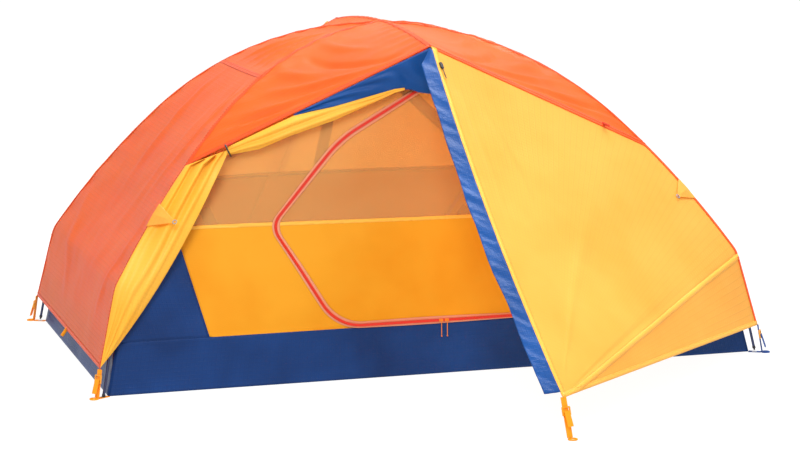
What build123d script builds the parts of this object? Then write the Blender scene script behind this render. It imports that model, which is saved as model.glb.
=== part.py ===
from build123d import *
import os
from math import asin, atan2, cos, degrees, hypot, radians, sin, tan

# A pitched two-person dome tent: crossed poles, hung inner tent and fly sheet.
# +X runs along the floor, -Y is the front door side, +Z is up, millimetres.
# The back half is the front half turned half a turn about Z.

# Floor and inner tent
floor_length = 2235.0
floor_width = 1372.0
tub_height = 170.0          # waterproof floor cloth turned up all round
wall_share = 0.46826        # top of the solid lower wall as a share of the poles' height, mesh above it
tub_lean = 18.0             # how far the tub's top edge stands in from the floor edge
gusset_foot = 774.0         # corner gusset's lower end along the tub, from the middle
gusset_angle = 47.0         # where the gusset reaches the pole, as pole slope in degrees
cloth = 2.0                 # thickness of every cloth and mesh panel
sliver = 0.05               # triangles smaller than this are left out

# Poles
pole_diameter = 9.0
pole_bore = 6.6
pole_peak = 1110.5          # height of the main poles' centre line at the crown
crossing_gap = 9.5          # between the two main poles' centre lines
kink_height = 343.0         # the bend between shoulder and leg
kink_inset = 74.0           # how far the bend stands in from the pole's foot
crown_angle = 41.5          # slope where the tight crown arc ends
shoulder_angle = 53.2       # slope where the wide shoulder arc ends
elbow_radius = 150.0
foot_height = 16.0          # lower end of the tube, on its tip
foot_reach = 18.0           # the foot stands this far outside the floor's corner
crown_sections = 5
elbow_lead = 40.0           # shoulder tube left straight above the bend
ferrule_length = 36.0
ferrule_wall = 1.2
slip = 0.25                 # clearance of sleeves and clips on the tubes
shock_cord_diameter = 3.0
brow_reach = 625.0          # half the brow pole, from the crown to its end
brow_drop = 41.0            # how far its ends lie below its middle
brow_rise = 9.4             # brow pole's centre above the upper main pole's

# How the inner tent hangs below the poles and the fly lies over them
clip_drop = 30.0
fly_gap = 14.4
clip_angles = (12.0, 28.0, 44.0, 50.0)
clip_length = 14.0
clip_wall = 2.4
tab_width = 12.0

# Fly sheet
seam_station = 6            # station where the roof seam meets the pole
cross_seam = 3              # station of the seam between crown panel and end panel
fly_hem_height = 95.0
fly_hem_reach = 29.0        # the fly's corner stands this far outside the floor's corner
# pole slopes at which the fly's panels follow the poles
fly_angles = (7.0, 14.0, 21.0, 27.5, 33.0, 38.5, 44.0, 48.5)
brow_tip_rise = 9.0         # fly above the brow pole's centre
vestibule_x = 88.0
vestibule_y = 1700.0
vestibule_hem = 122.0
flap_width = 58.0
flap_ends = (0.05, 0.975)   # ends of the storm flap along the vestibule zip
lining_drop = 112.0
gather_depth = 22.0
gather_lift = 12.4          # guy flap lifted by the gathered cloth under it
split_gap = 0.6
hem_share = 0.005           # width of the vestibule's blunt hem corner, as a share of its cloth

# Inner door, seen from the front: x and height of the zip's corners
door_foot_x = 420.0         # lower end of the hinge edge
door_top_share = 0.05       # hinge edge's upper end along the roof seam
zip_width = 12.0
zip_gap = 1.0
zip_sill = 172.0
zip_corner_x = -345.0
zip_side_x = -540.0
zip_side_height = 512.0
zip_shoulder_x = -300.0
zip_shoulder_height = 790.0
zip_radii = (150.0, 60.0, 420.0)

# Webbing, buckles, rings
fly_slider_length = 26.0
fly_slider_width = 11.0
fly_slider_height = 5.0
pull_length = 44.0
pull_radius = 1.6
webbing = 20.0
webbing_thickness = 2.0
stake_reach = 60.0          # stake ring's centre outside the floor's corner
vestibule_stake = (107.0, 1737.0)
ring_bore = 20.0
ring_width = 5.0
ring_thickness = 4.0
buckle_width = 30.0
buckle_height = 28.0
buckle_thickness = 4.0
buckle_bar = 4.0
grommet_bore = 8.0
grommet_width = 5.0
tip_pin = 6.0
tip_collar = 8.0
spigot = 18.0
guy_flap_base = 90.0
guy_flap_length = 80.0
guy_flap_angle = 48.0
guy_ring_bore = 10.0
guy_ring_width = 3.0

seam_angle = fly_angles[seam_station]
wall_height = pole_peak * wall_share
half_length = floor_length / 2
half_width = floor_width / 2
corner = hypot(half_length, half_width)
along = half_length / corner
across = half_width / corner

foot_r = corner + foot_reach
kink_r = foot_r - kink_inset
leg_slope = degrees(atan2(kink_height - foot_height, kink_inset))


def solve_arcs():
    """Radii of the crown and shoulder arcs that join the crown to the bend."""
    s1 = sin(radians(crown_angle))
    s2 = sin(radians(shoulder_angle)) - s1
    c1 = 1 - cos(radians(crown_angle))
    c2 = cos(radians(crown_angle)) - cos(radians(shoulder_angle))
    drop = pole_peak - kink_height
    det = s1 * c2 - s2 * c1
    return (kink_r * c2 - s2 * drop) / det, (s1 * drop - c1 * kink_r) / det


crown_radius, shoulder_radius = solve_arcs()


def pole_rz(angle, offset=0.0):
    """Distance from the middle and height of the pole line where its slope is angle."""
    a = radians(angle)
    if angle <= crown_angle:
        r_mid, z_mid, radius = 0.0, pole_peak - crown_radius, crown_radius
    else:
        turn = radians(crown_angle)
        r_mid = (crown_radius - shoulder_radius) * sin(turn)
        z_mid = pole_peak - crown_radius + (crown_radius - shoulder_radius) * cos(turn)
        radius = shoulder_radius
    return r_mid + (radius + offset) * sin(a), z_mid + (radius + offset) * cos(a)


def kink_rz(offset=0.0):
    """The bend of the pole line, moved out by offset on both sides of it."""
    a, b = radians(shoulder_angle), radians(leg_slope)
    share = offset / (1 + cos(b - a))
    return kink_r + share * (sin(a) + sin(b)), kink_height + share * (cos(a) + cos(b))


def on_diagonal(rz, side_x, side_y):
    """A point of the pole plane that runs to the corner (side_x, side_y)."""
    return Vector(side_x * rz[0] * along, side_y * rz[0] * across, rz[1])


def mix(a, b, share):
    return a + (b - a) * share


def at_height(a, b, z):
    return mix(a, b, (z - a.Z) / (b.Z - a.Z))


def turned(shape):
    return Rot(0, 0, 180) * shape


def wall(p, q, p_top, q_top):
    """Edge strip of a panel as two triangles, split the same way from either side."""
    if (p.Z, p.X, p.Y) > (q.Z, q.X, q.Y):
        return [(p, q, p_top), (q, q_top, p_top)]
    return [(p, q, q_top), (p, q_top, p_top)]


def sheet(under, over):
    """A cloth panel: a closed thin solid between two grids of points, rows of equal length."""
    rows, cols = len(under), len(under[0])
    corners = []
    for i in range(rows - 1):
        for j in range(cols - 1):
            a, b, c, d = ((i, j), (i + 1, j), (i + 1, j + 1), (i, j + 1))
            for m, n, k in ((a, b, c), (a, c, d)):
                corners.append([under[u][v] for u, v in (m, n, k)])
                corners.append([over[u][v] for u, v in (m, k, n)])
    rim = [(0, j) for j in range(cols)] + [(i, cols - 1) for i in range(1, rows)]
    rim += [(rows - 1, j) for j in range(cols - 2, -1, -1)] + [(i, 0) for i in range(rows - 2, 0, -1)]
    for (i, j), (k, m) in zip(rim, rim[1:] + rim[:1]):
        corners += wall(under[i][j], under[k][m], over[i][j], over[k][m])
    return closed_solid(corners)


def closed_solid(corners):
    """Solid inside a closed set of triangles; which way out it comes depends on its first face."""
    corners = [(a, b, c) for a, b, c in corners if (b - a).cross(c - a).length > sliver]
    faces = [Face(Wire.make_polygon(points)) for points in corners]
    for start in range(len(faces)):
        solid = Solid(Shell(faces[start:] + faces[:start]))
        if solid.volume > 0:
            break
    return solid


def strip(rail_a, rail_b, push):
    """A panel between two rails, thickened by the vector push."""
    under = [list(rail_a), list(rail_b)]
    return sheet(under, [[p + push for p in row] for row in under])


def space_above(plane):
    """Block larger than the tent that fills the space above a plane."""
    return plane * Pos(0, 0, floor_length) * Box(4 * floor_length, 4 * floor_length, 2 * floor_length)


def bar(start, end, width_dir, width, thickness, lift=0.0):
    """A flat bar from start to end, lifted along its normal."""
    run = end - start
    w = (width_dir - run.normalized() * width_dir.dot(run.normalized())).normalized()
    n = run.normalized().cross(w)
    plane = Plane(origin=start + n * lift, x_dir=w, z_dir=run.normalized())
    return plane * Pos(0, 0, run.length / 2) * Box(width, thickness, run.length)


def ring(centre, axis, bore, width, length):
    """A short sleeve about an axis."""
    band = Circle(bore / 2 + width) - Circle(bore / 2)
    return Plane(origin=centre - axis.normalized() * length / 2, z_dir=axis) * extrude(band, length)


# Pole frame
def pole_plane(side_x, side_y, shift):
    """Plane of one main pole: local x out to the given corner, local y up."""
    out = Vector(side_x * along, side_y * across, 0)
    return Plane(origin=(0, 0, shift), x_dir=out, z_dir=out.cross(Vector(0, 0, 1)))


def arc_from(start, heading, radius, turn):
    """Arc of a pole's line that bends down by turn degrees from a slope of heading."""
    return JernArc(start, (cos(radians(heading)), -sin(radians(heading))), radius, -turn)


def half_pole_line():
    """Section paths of half a pole in its plane, from the crown to the foot."""
    step = 2 * crown_angle / crown_sections
    slope = step / 2
    paths = [arc_from(Vector(0, pole_peak), 0.0, crown_radius, slope)]
    while slope < crown_angle - step / 2:
        paths.append(arc_from(paths[-1] @ 1, slope, crown_radius, step))
        slope += step
    bend = radians(leg_slope - shoulder_angle)
    setback = degrees((elbow_radius * tan(bend / 2)) / shoulder_radius)
    lead = degrees(elbow_lead / shoulder_radius)
    turn = shoulder_angle - crown_angle - setback - lead
    paths.append(arc_from(paths[-1] @ 1, crown_angle, shoulder_radius, turn))
    lead_in = arc_from(paths[-1] @ 1, crown_angle + turn, shoulder_radius, lead)
    slope = crown_angle + turn + lead
    elbow = arc_from(lead_in @ 1, slope, elbow_radius, leg_slope - slope)
    low = elbow @ 1
    down = Vector(cos(radians(leg_slope)), -sin(radians(leg_slope)))
    leg = Line(low, low + down * ((low.Y - foot_height) / -down.Y))
    paths.append(Wire([lead_in.edge(), elbow.edge(), leg.edge()]))
    return paths


half_line = half_pole_line()
foot_point = half_line[-1] @ 1


def tube(path, outer, inner=0.0):
    section = Circle(outer / 2)
    if inner:
        section -= Circle(inner / 2)
    start = Plane(origin=path @ 0, z_dir=path % 0)
    return sweep(start * section, path=path)


def main_pole(side_y, shift):
    """One pole from corner to corner: its tubes, ferrules, foot tips and inner cord."""
    sections, sleeves, tips, cords, middle = [], [], [], [], []
    whole = Wire([edge for path in half_line for edge in path.edges()])
    for side in (1, -1):
        plane = pole_plane(side, side * side_y, shift)
        tubes = [plane * tube(path, pole_diameter, pole_bore) for path in half_line]
        middle.append(tubes[0])
        sections += tubes[1:]
        for path in half_line[1:]:
            sleeve = ring(path @ 0, path % 0, pole_diameter + 2 * slip, ferrule_wall, ferrule_length)
            sleeves.append(plane * sleeve)
        tips.append(plane * end_plug(foot_point, half_line[-1] % 1, tip_collar) + plane * tip_spike())
        cords.append(plane * tube(whole, shock_cord_diameter))
    return [middle[0] + middle[1]] + sections, sleeves, tips, [cords[0] + cords[1]]


def end_plug(end, out, collar):
    """Plug in the end of a tube: a collar outside and a hollow spigot for the cord inside."""
    out = out.normalized()
    head = Plane(origin=end, z_dir=out) * Pos(0, 0, collar / 2) * Cylinder(pole_diameter / 2 + 1, collar)
    cord_hole = shock_cord_diameter + 2 * slip
    wall_left = (pole_bore - 2 * slip - cord_hole) / 2
    return head + ring(end - out * spigot / 2, out, cord_hole, wall_left, spigot)


def tip_spike():
    """Pin under a foot plug that stands in the corner's grommet."""
    down = (half_line[-1] % 1).normalized()
    start = foot_point + down * tip_collar
    length = (start.Y - cloth) / -down.Y
    return Plane(origin=start, z_dir=down) * Pos(0, 0, length / 2) * Cylinder(tip_pin / 2, length)


sections_a, sleeves_a, tips_a, cords_a = main_pole(1, -crossing_gap / 2)
sections_b, sleeves_b, tips_b, cords_b = main_pole(-1, crossing_gap / 2)

brow_top = pole_peak + crossing_gap / 2 + brow_rise
brow_radius = (brow_reach ** 2 + brow_drop ** 2) / (2 * brow_drop)
brow_turn = degrees(asin(brow_reach / brow_radius))
brow_plane = Plane(origin=(0, 0, 0), x_dir=(0, 1, 0), z_dir=(1, 0, 0))
brow_halves = [JernArc((0, brow_top), (side, 0), brow_radius, -side * brow_turn) for side in (1, -1)]
brow_tubes = [brow_plane * tube(p, pole_diameter, pole_bore) for p in brow_halves]
brow_tubes = [brow_tubes[0] + brow_tubes[1]]
brow_cords = [brow_plane * tube(p, shock_cord_diameter) for p in brow_halves]
brow_cords = [brow_cords[0] + brow_cords[1]]
brow_caps = [brow_plane * end_plug(p @ 1, p % 1, tip_collar) for p in brow_halves]


def crown_clip():
    """Saddle under the lower main pole where the poles cross."""
    lower = pole_peak - crossing_gap / 2
    saddle = Pos(0, 0, lower - 5) * Cylinder(24, 9)
    plane = pole_plane(1, 1, -crossing_gap / 2)
    reach = 60.0
    groove = plane * Plane(origin=(-reach / 2, pole_peak), z_dir=(1, 0, 0)) * Pos(0, 0, reach / 2) * Cylinder(
        pole_diameter / 2 + slip, reach)
    return saddle - groove


# Inner tent: outline points of the front wall and the left end, corner by corner
inner_out = -clip_drop
inner_in = -clip_drop - cloth


def inner_corner(side_x, side_y, offset):
    """Edge of the inner tent along one pole leg: floor corner, tub top, bend, gusset top, roof seam."""
    inset = inner_out - offset
    foot = Vector(side_x * (half_length - inset), side_y * (half_width - inset), cloth)
    kink = on_diagonal(kink_rz(offset), side_x, side_y)
    tub = at_height(foot, kink, tub_height)
    gusset = on_diagonal(pole_rz(gusset_angle, offset), side_x, side_y)
    seam = on_diagonal(pole_rz(seam_angle, offset), side_x, side_y)
    return foot, tub, kink, gusset, seam


def brow_inner(offset):
    """Inner tent's ridge point above the front door."""
    return Vector(0, -brow_reach + clip_drop, brow_top - brow_drop - clip_drop - 10 + offset)


def front_wall(push):
    """Straight lines up the front wall from the tub's top edge to the pole or the roof seam."""
    y = -half_width + tub_lean + push
    offset = inner_out - push
    left = inner_corner(-1, -1, offset)
    right = inner_corner(1, -1, offset)
    brow = brow_inner(0) + Vector(0, push, 0)
    tops = [left[3], left[4], mix(left[4], brow, 0.5), brow, mix(brow, right[4], door_top_share),
            mix(brow, right[4], 0.5), right[4], right[3]]
    feet = [-gusset_foot, -gusset_foot * 0.82, -gusset_foot * 0.42, 20.0, door_foot_x,
            door_foot_x + 0.4 * (gusset_foot - door_foot_x), door_foot_x + 0.7 * (gusset_foot - door_foot_x),
            gusset_foot]
    return left, right, [Vector(x, y, tub_height) for x in feet], tops


def front_inner():
    """The front wall's panels: tub, gussets, lower wall and mesh, before the door is cut."""
    grids = [front_wall(0.0), front_wall(cloth)]
    tub, lower, mesh, gussets = [], [], [], ([], [])
    for left, right, feet, tops in grids:
        y = left[0].Y
        low = [left[0]] + [Vector(f.X, y, cloth) for f in feet] + [right[0]]
        tub.append([low, [left[1]] + feet + [right[1]]])
        belt = [at_height(f, t, wall_height) for f, t in zip(feet, tops)]
        lower.append([feet, belt])
        mesh.append([belt, tops])
        for number, leg, end in ((0, left, 0), (1, right, -1)):
            gussets[number].append([list(leg[1:4]), [feet[end], belt[end], belt[end]]])
    panels = [sheet(*pair) for pair in (tub, lower, mesh)]
    return panels, [sheet(*pair) for pair in gussets]


def end_inner():
    """The left end's panels: tub, lower wall and mesh up to the roof seam's height and the crown."""
    tub, lower, mesh = [], [], []
    top_angles = [seam_angle, 36.0, 26.0, 14.0, 5.0]
    for offset in (inner_out, inner_in):
        legs = [inner_corner(-1, side, offset) for side in (-1, 1)]
        tub.append([[leg[0] for leg in legs], [leg[1] for leg in legs]])
        belts = [at_height(leg[2], leg[3], wall_height) for leg in legs]
        lower.append([[leg[i] for leg in legs] for i in (1, 2)] + [belts])
        ridge = [[on_diagonal(pole_rz(a, offset), -1, side) for side in (-1, 1)] for a in top_angles]
        mesh.append([belts, [leg[3] for leg in legs]] + ridge)
    return [sheet(*pair) for pair in (tub, lower, mesh)]


def roof_inner(side_x):
    """Mesh roof between the brow line and one front pole leg."""
    grids = []
    for offset in (inner_out, inner_in):
        push = inner_out - offset
        brow = brow_inner(0) + Vector(0, push, 0)
        peak = Vector(0, 0, pole_rz(0, offset)[1])
        angles = [seam_angle, 36.0, 26.0, 14.0, 5.0]
        pole_side = [on_diagonal(pole_rz(a, offset), side_x, -1) for a in angles]
        shares = [0.0, 0.2, 0.45, 0.72, 0.9]
        grids.append([[mix(brow, peak, s) for s in shares], pole_side])
    return sheet(*grids)


(tub_front, lower_front, mesh_front), gussets_front = front_inner()
tub_end, lower_end, mesh_end = end_inner()
roof_quarters = [roof_inner(side) for side in (-1, 1)]

# Inner door: its zip outline in the front view
hinge_foot = Vector(door_foot_x, -half_width + tub_lean + cloth, tub_height)
_, _, _, wall_tops = front_wall(cloth)
hinge_top = wall_tops[4]
zip_top_height = hinge_top.Z - 2.2 * zip_width
zip_top = at_height(hinge_foot, hinge_top, zip_top_height)
zip_start = at_height(hinge_foot, hinge_top, zip_sill + zip_width / 2)
front_view = Plane(origin=(0, 0, 0), x_dir=(1, 0, 0), z_dir=(0, -1, 0))
zip_points = [(zip_start.X, zip_start.Z), (zip_corner_x, zip_start.Z), (zip_side_x, zip_side_height),
              (zip_shoulder_x, zip_shoulder_height), (zip_top.X, zip_top.Z)]
zip_line = FilletPolyline(*zip_points, radius=zip_radii)
hinge_line = Line(zip_points[-1], zip_points[0])
door_depth = 400.0          # door cutters stay this far from the tent's middle


def through(face):
    """Cutter: a front-view outline run right through the front wall."""
    middle = Box(2 * floor_length, 2 * door_depth, 4 * floor_length)
    return extrude(front_view * face, amount=half_width + door_depth / 4) - middle


door_cut = through(make_face([*zip_line.edges(), hinge_line.edge()]))
zip_cut = through(trace(zip_line, zip_width))
zip_room = through(trace(zip_line, zip_width + 2 * zip_gap))

hinge_side = Plane(origin=hinge_foot, x_dir=hinge_top - hinge_foot,
                   z_dir=(hinge_top - hinge_foot).cross(Vector(0, 1, 0)))
if hinge_side.z_dir.X > 0:
    hinge_side = -hinge_side
door_side = space_above(hinge_side.offset(split_gap))
door_lower = (lower_front & door_cut & door_side) - zip_room
door_mesh = (mesh_front & door_cut & door_side) - zip_room
zip_tape = [(panel & zip_cut) for panel in (lower_front, mesh_front)]
wall_lower = lower_front - door_cut - zip_cut
wall_mesh = mesh_front - door_cut - zip_cut


def zip_slider(x, pull):
    """Slider body on the zip's lower run, its lug, and a cord pull hanging clear of the tub."""
    face = -half_width + tub_lean - slip
    body = Pos(x, face - 4, zip_start.Z) * fillet(Box(14, 8, 9).edges().filter_by(Axis.Y), 2)
    lug = Pos(x, face - 10, zip_start.Z) * Box(4, 5, 4)
    cord = Pos(x, face - 11, zip_start.Z - 1 - pull / 2) * Cylinder(1.2, pull)
    knot = Pos(x, face - 11, zip_start.Z - 1 - pull) * Sphere(2.5)
    return body + lug + cord + knot


# Fly sheet
fly_in, fly_out = fly_gap, fly_gap + cloth
crown_point = [Vector(0, 0, brow_top + brow_tip_rise + rise) for rise in (0.0, cloth)]
brow_tip = [Vector(0, -brow_reach - 8, brow_top - brow_drop + brow_tip_rise + rise) for rise in (0.0, cloth)]


def fly_foot(side_x, side_y, rise):
    """Lower corner of the fly, outside the pole's leg."""
    r = corner + fly_hem_reach + rise
    return on_diagonal((r, fly_hem_height), side_x, side_y)


def fly_pole(angle, side_x, side_y):
    return [on_diagonal(pole_rz(angle, offset), side_x, side_y) for offset in (fly_in, fly_out)]


def fly_kink(side_x, side_y):
    return [on_diagonal(kink_rz(offset), side_x, side_y) for offset in (fly_in, fly_out)]


def fly_end(side_x):
    """Crown panel and end panel of one end, between its two pole legs."""
    crown_angles = fly_angles[:cross_seam + 1]
    end_angles = fly_angles[cross_seam:]
    crown, end = [], []
    for layer in (0, 1):
        rows = [[fly_pole(a, side_x, side)[layer] for side in (-1, 1)] for a in crown_angles]
        crown.append([[crown_point[layer]] * 2] + rows)
        rows = [[fly_pole(a, side_x, side)[layer] for side in (-1, 1)] for a in end_angles]
        rows.append([fly_kink(side_x, side)[layer] for side in (-1, 1)])
        rows.append([fly_foot(side_x, side, layer * cloth) for side in (-1, 1)])
        end.append(rows)
    return sheet(*crown), sheet(*end)


def fly_roof(side_x):
    """Front roof panel between the brow line, one pole leg and the roof seam."""
    angles = fly_angles[:seam_station + 1]
    grids = []
    for layer in (0, 1):
        pole_side = [fly_pole(a, side_x, -1)[layer] for a in angles]
        brow_side = []
        for number in range(len(angles)):
            share = (number + 1) / len(angles)
            flat = mix(crown_point[layer], brow_tip[layer], share)
            bow = brow_drop * (share - share * share)
            brow_side.append(flat + Vector(0, 0, bow))
        grids.append([[crown_point[layer]] + pole_side, [crown_point[layer]] + brow_side])
    return sheet(*grids)


hem_corner = Vector(vestibule_x, -vestibule_y, vestibule_hem)
zip_run = (hem_corner - brow_tip[0]).normalized()
zip_out = zip_run.cross(Vector(1, 0, 0)).normalized()


def vestibule_edge(side_x, layer):
    """Sewn edge of one vestibule half, from the brow down the pole to the fly's corner."""
    edge = [brow_tip[layer]]
    edge += [fly_pole(angle, side_x, -1)[layer] for angle in fly_angles[seam_station:]]
    return edge + [fly_kink(side_x, -1)[layer], fly_foot(side_x, -1, layer * cloth)]


def fold(side_x):
    """Fold of a vestibule half from the brow to the fly's corner: its direction, outward side, door side."""
    top, low = brow_tip[0], fly_foot(side_x, -1, 0.0)
    run = (low - top).normalized()
    out = run.cross(hem_corner - top).normalized()
    if out.Y > 0:
        out = -out
    inward = (hem_corner - top) - run * run.dot(hem_corner - top)
    return run, out, inward.normalized()


def vestibule_parts(side_x):
    """Fixed side and folding door of one vestibule half, and the line the door folds about."""
    run, out, inward = fold(side_x)
    clear = Vector(side_x * split_gap / 2, 0, 0)
    fixed, door, bulge = [], [], 0.0
    for layer in (0, 1):
        edge = vestibule_edge(side_x, layer)
        hem = hem_corner + clear + zip_out * (cloth * layer)
        reach = (hem - brow_tip[0]).dot(inward)
        rows = []
        for gap in (-split_gap / 2, split_gap / 2):
            shares = [(reach - gap) / (reach - (p - brow_tip[0]).dot(inward)) for p in edge]
            rows.append([mix(hem, p, min(share, 1.0)) for p, share in zip(edge, shares)])
        fixed.append([rows[0], edge])
        rows[1][0] += clear
        door.append([[mix(hem, p, hem_share) for p in edge], rows[1]])
        bulge = max(bulge, max((p - brow_tip[0]).dot(out) for p in rows[1]))
    return sheet(*fixed), sheet(*door), brow_tip[0] + out * (bulge + slip), run


side_right, door_right, fold_right, fold_right_run = vestibule_parts(1)
side_left, door_left, fold_left, fold_left_run = vestibule_parts(-1)
crown_left, end_left = fly_end(-1)
roof_left, roof_right = fly_roof(-1), fly_roof(1)

own_side = fly_pole(seam_angle, 1, -1)[0] - brow_tip[0]
own_side = (own_side - zip_run * own_side.dot(zip_run)).normalized()
own_out = own_side.cross(zip_run).normalized()
if own_out.Y > 0:
    own_out = -own_out


def storm_flap(hang, lift):
    """Cloth strip beside the vestibule zip, from the door's free edge towards hang."""
    hang = (hang - zip_run * hang.dot(zip_run)).normalized()
    top = mix(brow_tip[0], hem_corner, flap_ends[0]) + lift
    low = mix(brow_tip[0], hem_corner, flap_ends[1]) + lift
    push = zip_run.cross(hang).normalized() * cloth
    if push.dot(zip_out) < 0:
        push = -push
    return strip([top, low], [top + hang * flap_width, low + hang * flap_width], push)


open_flap = storm_flap(Vector(-0.9, 0.3, 0), Vector(0, 0, 0))
folded_flap = storm_flap(own_side, own_out * (cloth + 2 * slip))


def brow_lining():
    """Tapering strip under the roof seam on the open side."""
    seam = fly_pole(seam_angle, -1, -1)[0]
    drop = Vector(0, 0, -1.0)
    top = mix(brow_tip[0], seam, 0.03) + drop
    far = mix(brow_tip[0], seam, 0.5) + drop
    low = top + Vector(-14, -6, -lining_drop)
    return strip([top, far], [low, far + Vector(6, -2, -12)], Vector(0, cloth, 0))


def gathered_door():
    """The open half of the vestibule, gathered along the pole and the roof seam."""
    seam = fly_pole(seam_angle, -1, -1)[1]
    beside = Vector(across, -along, 0)
    bend = fly_kink(-1, -1)[1]
    heads = [mix(fly_foot(-1, -1, cloth), bend, 0.06), bend, fly_pole(fly_angles[-1], -1, -1)[1], seam,
             mix(seam, brow_tip[1], 0.17), mix(seam, brow_tip[1], 0.5), mix(seam, brow_tip[1], 0.9)]
    hangs = [Vector(40, -5, 20), Vector(105, -30, -55), Vector(150, -80, -85), Vector(85, -40, -70),
             Vector(16, -12, -44), Vector(8, -14, -40), Vector(4, -8, -22)]
    depths = [0.3, 0.9, 1.0, 0.8, 0.7, 0.8, 0.5]
    rail = [h + beside - Vector(0, 0, 2 * cloth) for h in heads]
    under = [rail, [h + hang for h, hang in zip(rail, hangs)]]
    lift = [Vector(0, -gather_depth * d, 0) for d in depths]
    over = [[p + push for p, push in zip(row, lift)] for row in under]
    return sheet(under, over)


def fly_slider(share, layers):
    """Slider of the vestibule zip with a cord pull, on so many layers of cloth."""
    lift = layers * (cloth + 2 * slip) + fly_slider_height / 2
    seat = mix(brow_tip[0], hem_corner, share) + own_side * fly_slider_width + own_out * lift
    frame = Plane(origin=seat, x_dir=zip_run, z_dir=own_out)
    body = Box(fly_slider_length, fly_slider_width, fly_slider_height)
    body = fillet(body.edges().filter_by(Axis.Z), fly_slider_width / 4)
    pull = Pos((fly_slider_length + pull_length) / 2, 0, 0) * Rot(0, 90, 0) * Cylinder(pull_radius, pull_length)
    return frame * (body + pull)


def guy_flap(side_x, clear):
    """Guy-out flap sewn along the pole seam, with a ring at its tip, lying on the vestibule."""
    edge = vestibule_edge(side_x, 0)
    normal = (edge[1] - hem_corner).cross(edge[3] - hem_corner).normalized()
    if normal.Y > 0:
        normal = -normal
    base = fly_pole(guy_flap_angle, side_x, -1)[1]
    run = (fly_kink(side_x, -1)[1] - fly_pole(seam_angle, side_x, -1)[1]).normalized()
    reach = normal.cross(run)
    if reach.Y > 0:
        reach = -reach
    lift = normal * clear
    a, b = base - run * guy_flap_base / 2 + lift, base + run * guy_flap_base / 2 + lift
    tip = base + reach * guy_flap_length + lift
    flap = strip([a, b], [tip - run * 6, tip + run * 6], normal * cloth)
    centre = tip + reach * (guy_ring_bore / 2 + guy_ring_width) + normal * (cloth / 2)
    return [flap, ring(centre, normal, guy_ring_bore, guy_ring_width, cloth)], base + lift, run, centre, normal


def stake_strap(top, stake, side):
    """Strap from a fly corner down to its stake ring, with the buckle that tightens it."""
    foot = Vector(stake.X, stake.Y, ring_thickness / 2)
    rim = Vector(top.X - foot.X, top.Y - foot.Y, 0).normalized() * (ring_bore + ring_width) / 2
    low = foot + rim + Vector(0, 0, ring_thickness / 2 + 2 * slip)
    run = (low - top).normalized()
    strap = bar(top, low, side, webbing, webbing_thickness)
    eye = ring(foot, Vector(0, 0, 1), ring_bore, ring_width, ring_thickness)
    hold = mix(top, low, 0.35)
    normal = run.cross(side).normalized()
    lift = webbing_thickness / 2 + slip + buckle_thickness / 2
    plane = Plane(origin=hold + normal * lift, x_dir=side, z_dir=normal)
    slot = (buckle_height - 3 * buckle_bar) / 2
    plate = Box(buckle_width, buckle_height, buckle_thickness)
    plate = fillet(plate.edges().filter_by(Axis.Z), 3)
    for way in (1, -1):
        plate -= Pos(0, way * (slot + buckle_bar) / 2, 0) * Box(webbing + 2, slot, 2 * buckle_thickness)
    tail_top = hold + normal * (lift + buckle_thickness / 2 + slip + webbing_thickness / 2)
    tail = bar(tail_top, tail_top + run * 48 + normal * 8, side, webbing, webbing_thickness)
    return [strap, tail], eye, plane * plate, foot


def corner_strap(side_x, side_y):
    side = Vector(-side_y * across, side_x * along, 0).normalized()
    stake = on_diagonal((corner + stake_reach, 0.0), side_x, side_y)
    out = Vector(side_x * along, side_y * across, 0)
    top = fly_foot(side_x, side_y, 0.0) + out * (cloth + webbing_thickness / 2 + slip)
    return stake_strap(top, stake, side)


def corner_tab(side_x, side_y):
    """Floor corner's webbing out to the stake ring, with the grommet that takes the pole tip."""
    out = Vector(side_x * along, side_y * across, 0)
    side = Vector(0, 0, 1).cross(out)
    tip = out * (foot_r + (foot_height - cloth) / tan(radians(leg_slope)))
    start = out * (corner + 1.0) + Vector(0, 0, webbing_thickness / 2)
    end = out * (corner + stake_reach - ring_bore / 2 - ring_width - 0.5) + Vector(0, 0, webbing_thickness / 2)
    grommet_outer = grommet_bore / 2 + grommet_width
    tab = bar(start, end, side, webbing, webbing_thickness)
    tab -= Pos(tip.X, tip.Y, 0) * Cylinder(grommet_outer, 4 * webbing_thickness)
    eye = ring(Vector(tip.X, tip.Y, webbing_thickness / 2), Vector(0, 0, 1), grommet_bore, grommet_width,
               webbing_thickness)
    return tab, eye


def tie_back(side_x, share):
    """Toggle and loop below the roof seam that hold a rolled door."""
    seam = fly_pole(seam_angle, side_x, -1)[1]
    point = mix(seam, brow_tip[1], share) + Vector(0, 0, cloth + slip)
    run = (brow_tip[1] - seam).normalized()
    loop = bar(point, point + Vector(0, -14, 2), run, 10, 1.6)
    toggle = Plane(origin=point + Vector(0, -14 - 4.5, 3), z_dir=run) * Cylinder(3.5, 30)
    return [loop, toggle]


def clip_set(side_x, side_y, shift):
    """Clips on one pole leg and the tabs that hang the inner tent from them."""
    clips, tabs = [], []
    for angle in clip_angles:
        plane = pole_plane(side_x, side_y, shift)
        r, z = pole_rz(angle)
        a = radians(angle)
        tangent, down = Vector(cos(a), -sin(a)), Vector(-sin(a), -cos(a))
        hook = ring(Vector(r, z), tangent, pole_diameter + 2 * slip, clip_wall, clip_length)
        mouth = Plane(origin=Vector(r, z) - down * pole_diameter, z_dir=down) * Box(
            clip_length * 2, pole_diameter * 0.6, pole_diameter * 1.6)
        clips.append(plane * (hook - mouth))
        start = Vector(r, z) + down * (pole_diameter / 2 + slip + clip_wall + 0.3)
        end = Vector(r, z) + down * (clip_drop - 0.5 + shift * cos(a))
        tabs.append(plane * bar(start, end, tangent, tab_width, webbing_thickness))
    return clips, tabs


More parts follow.
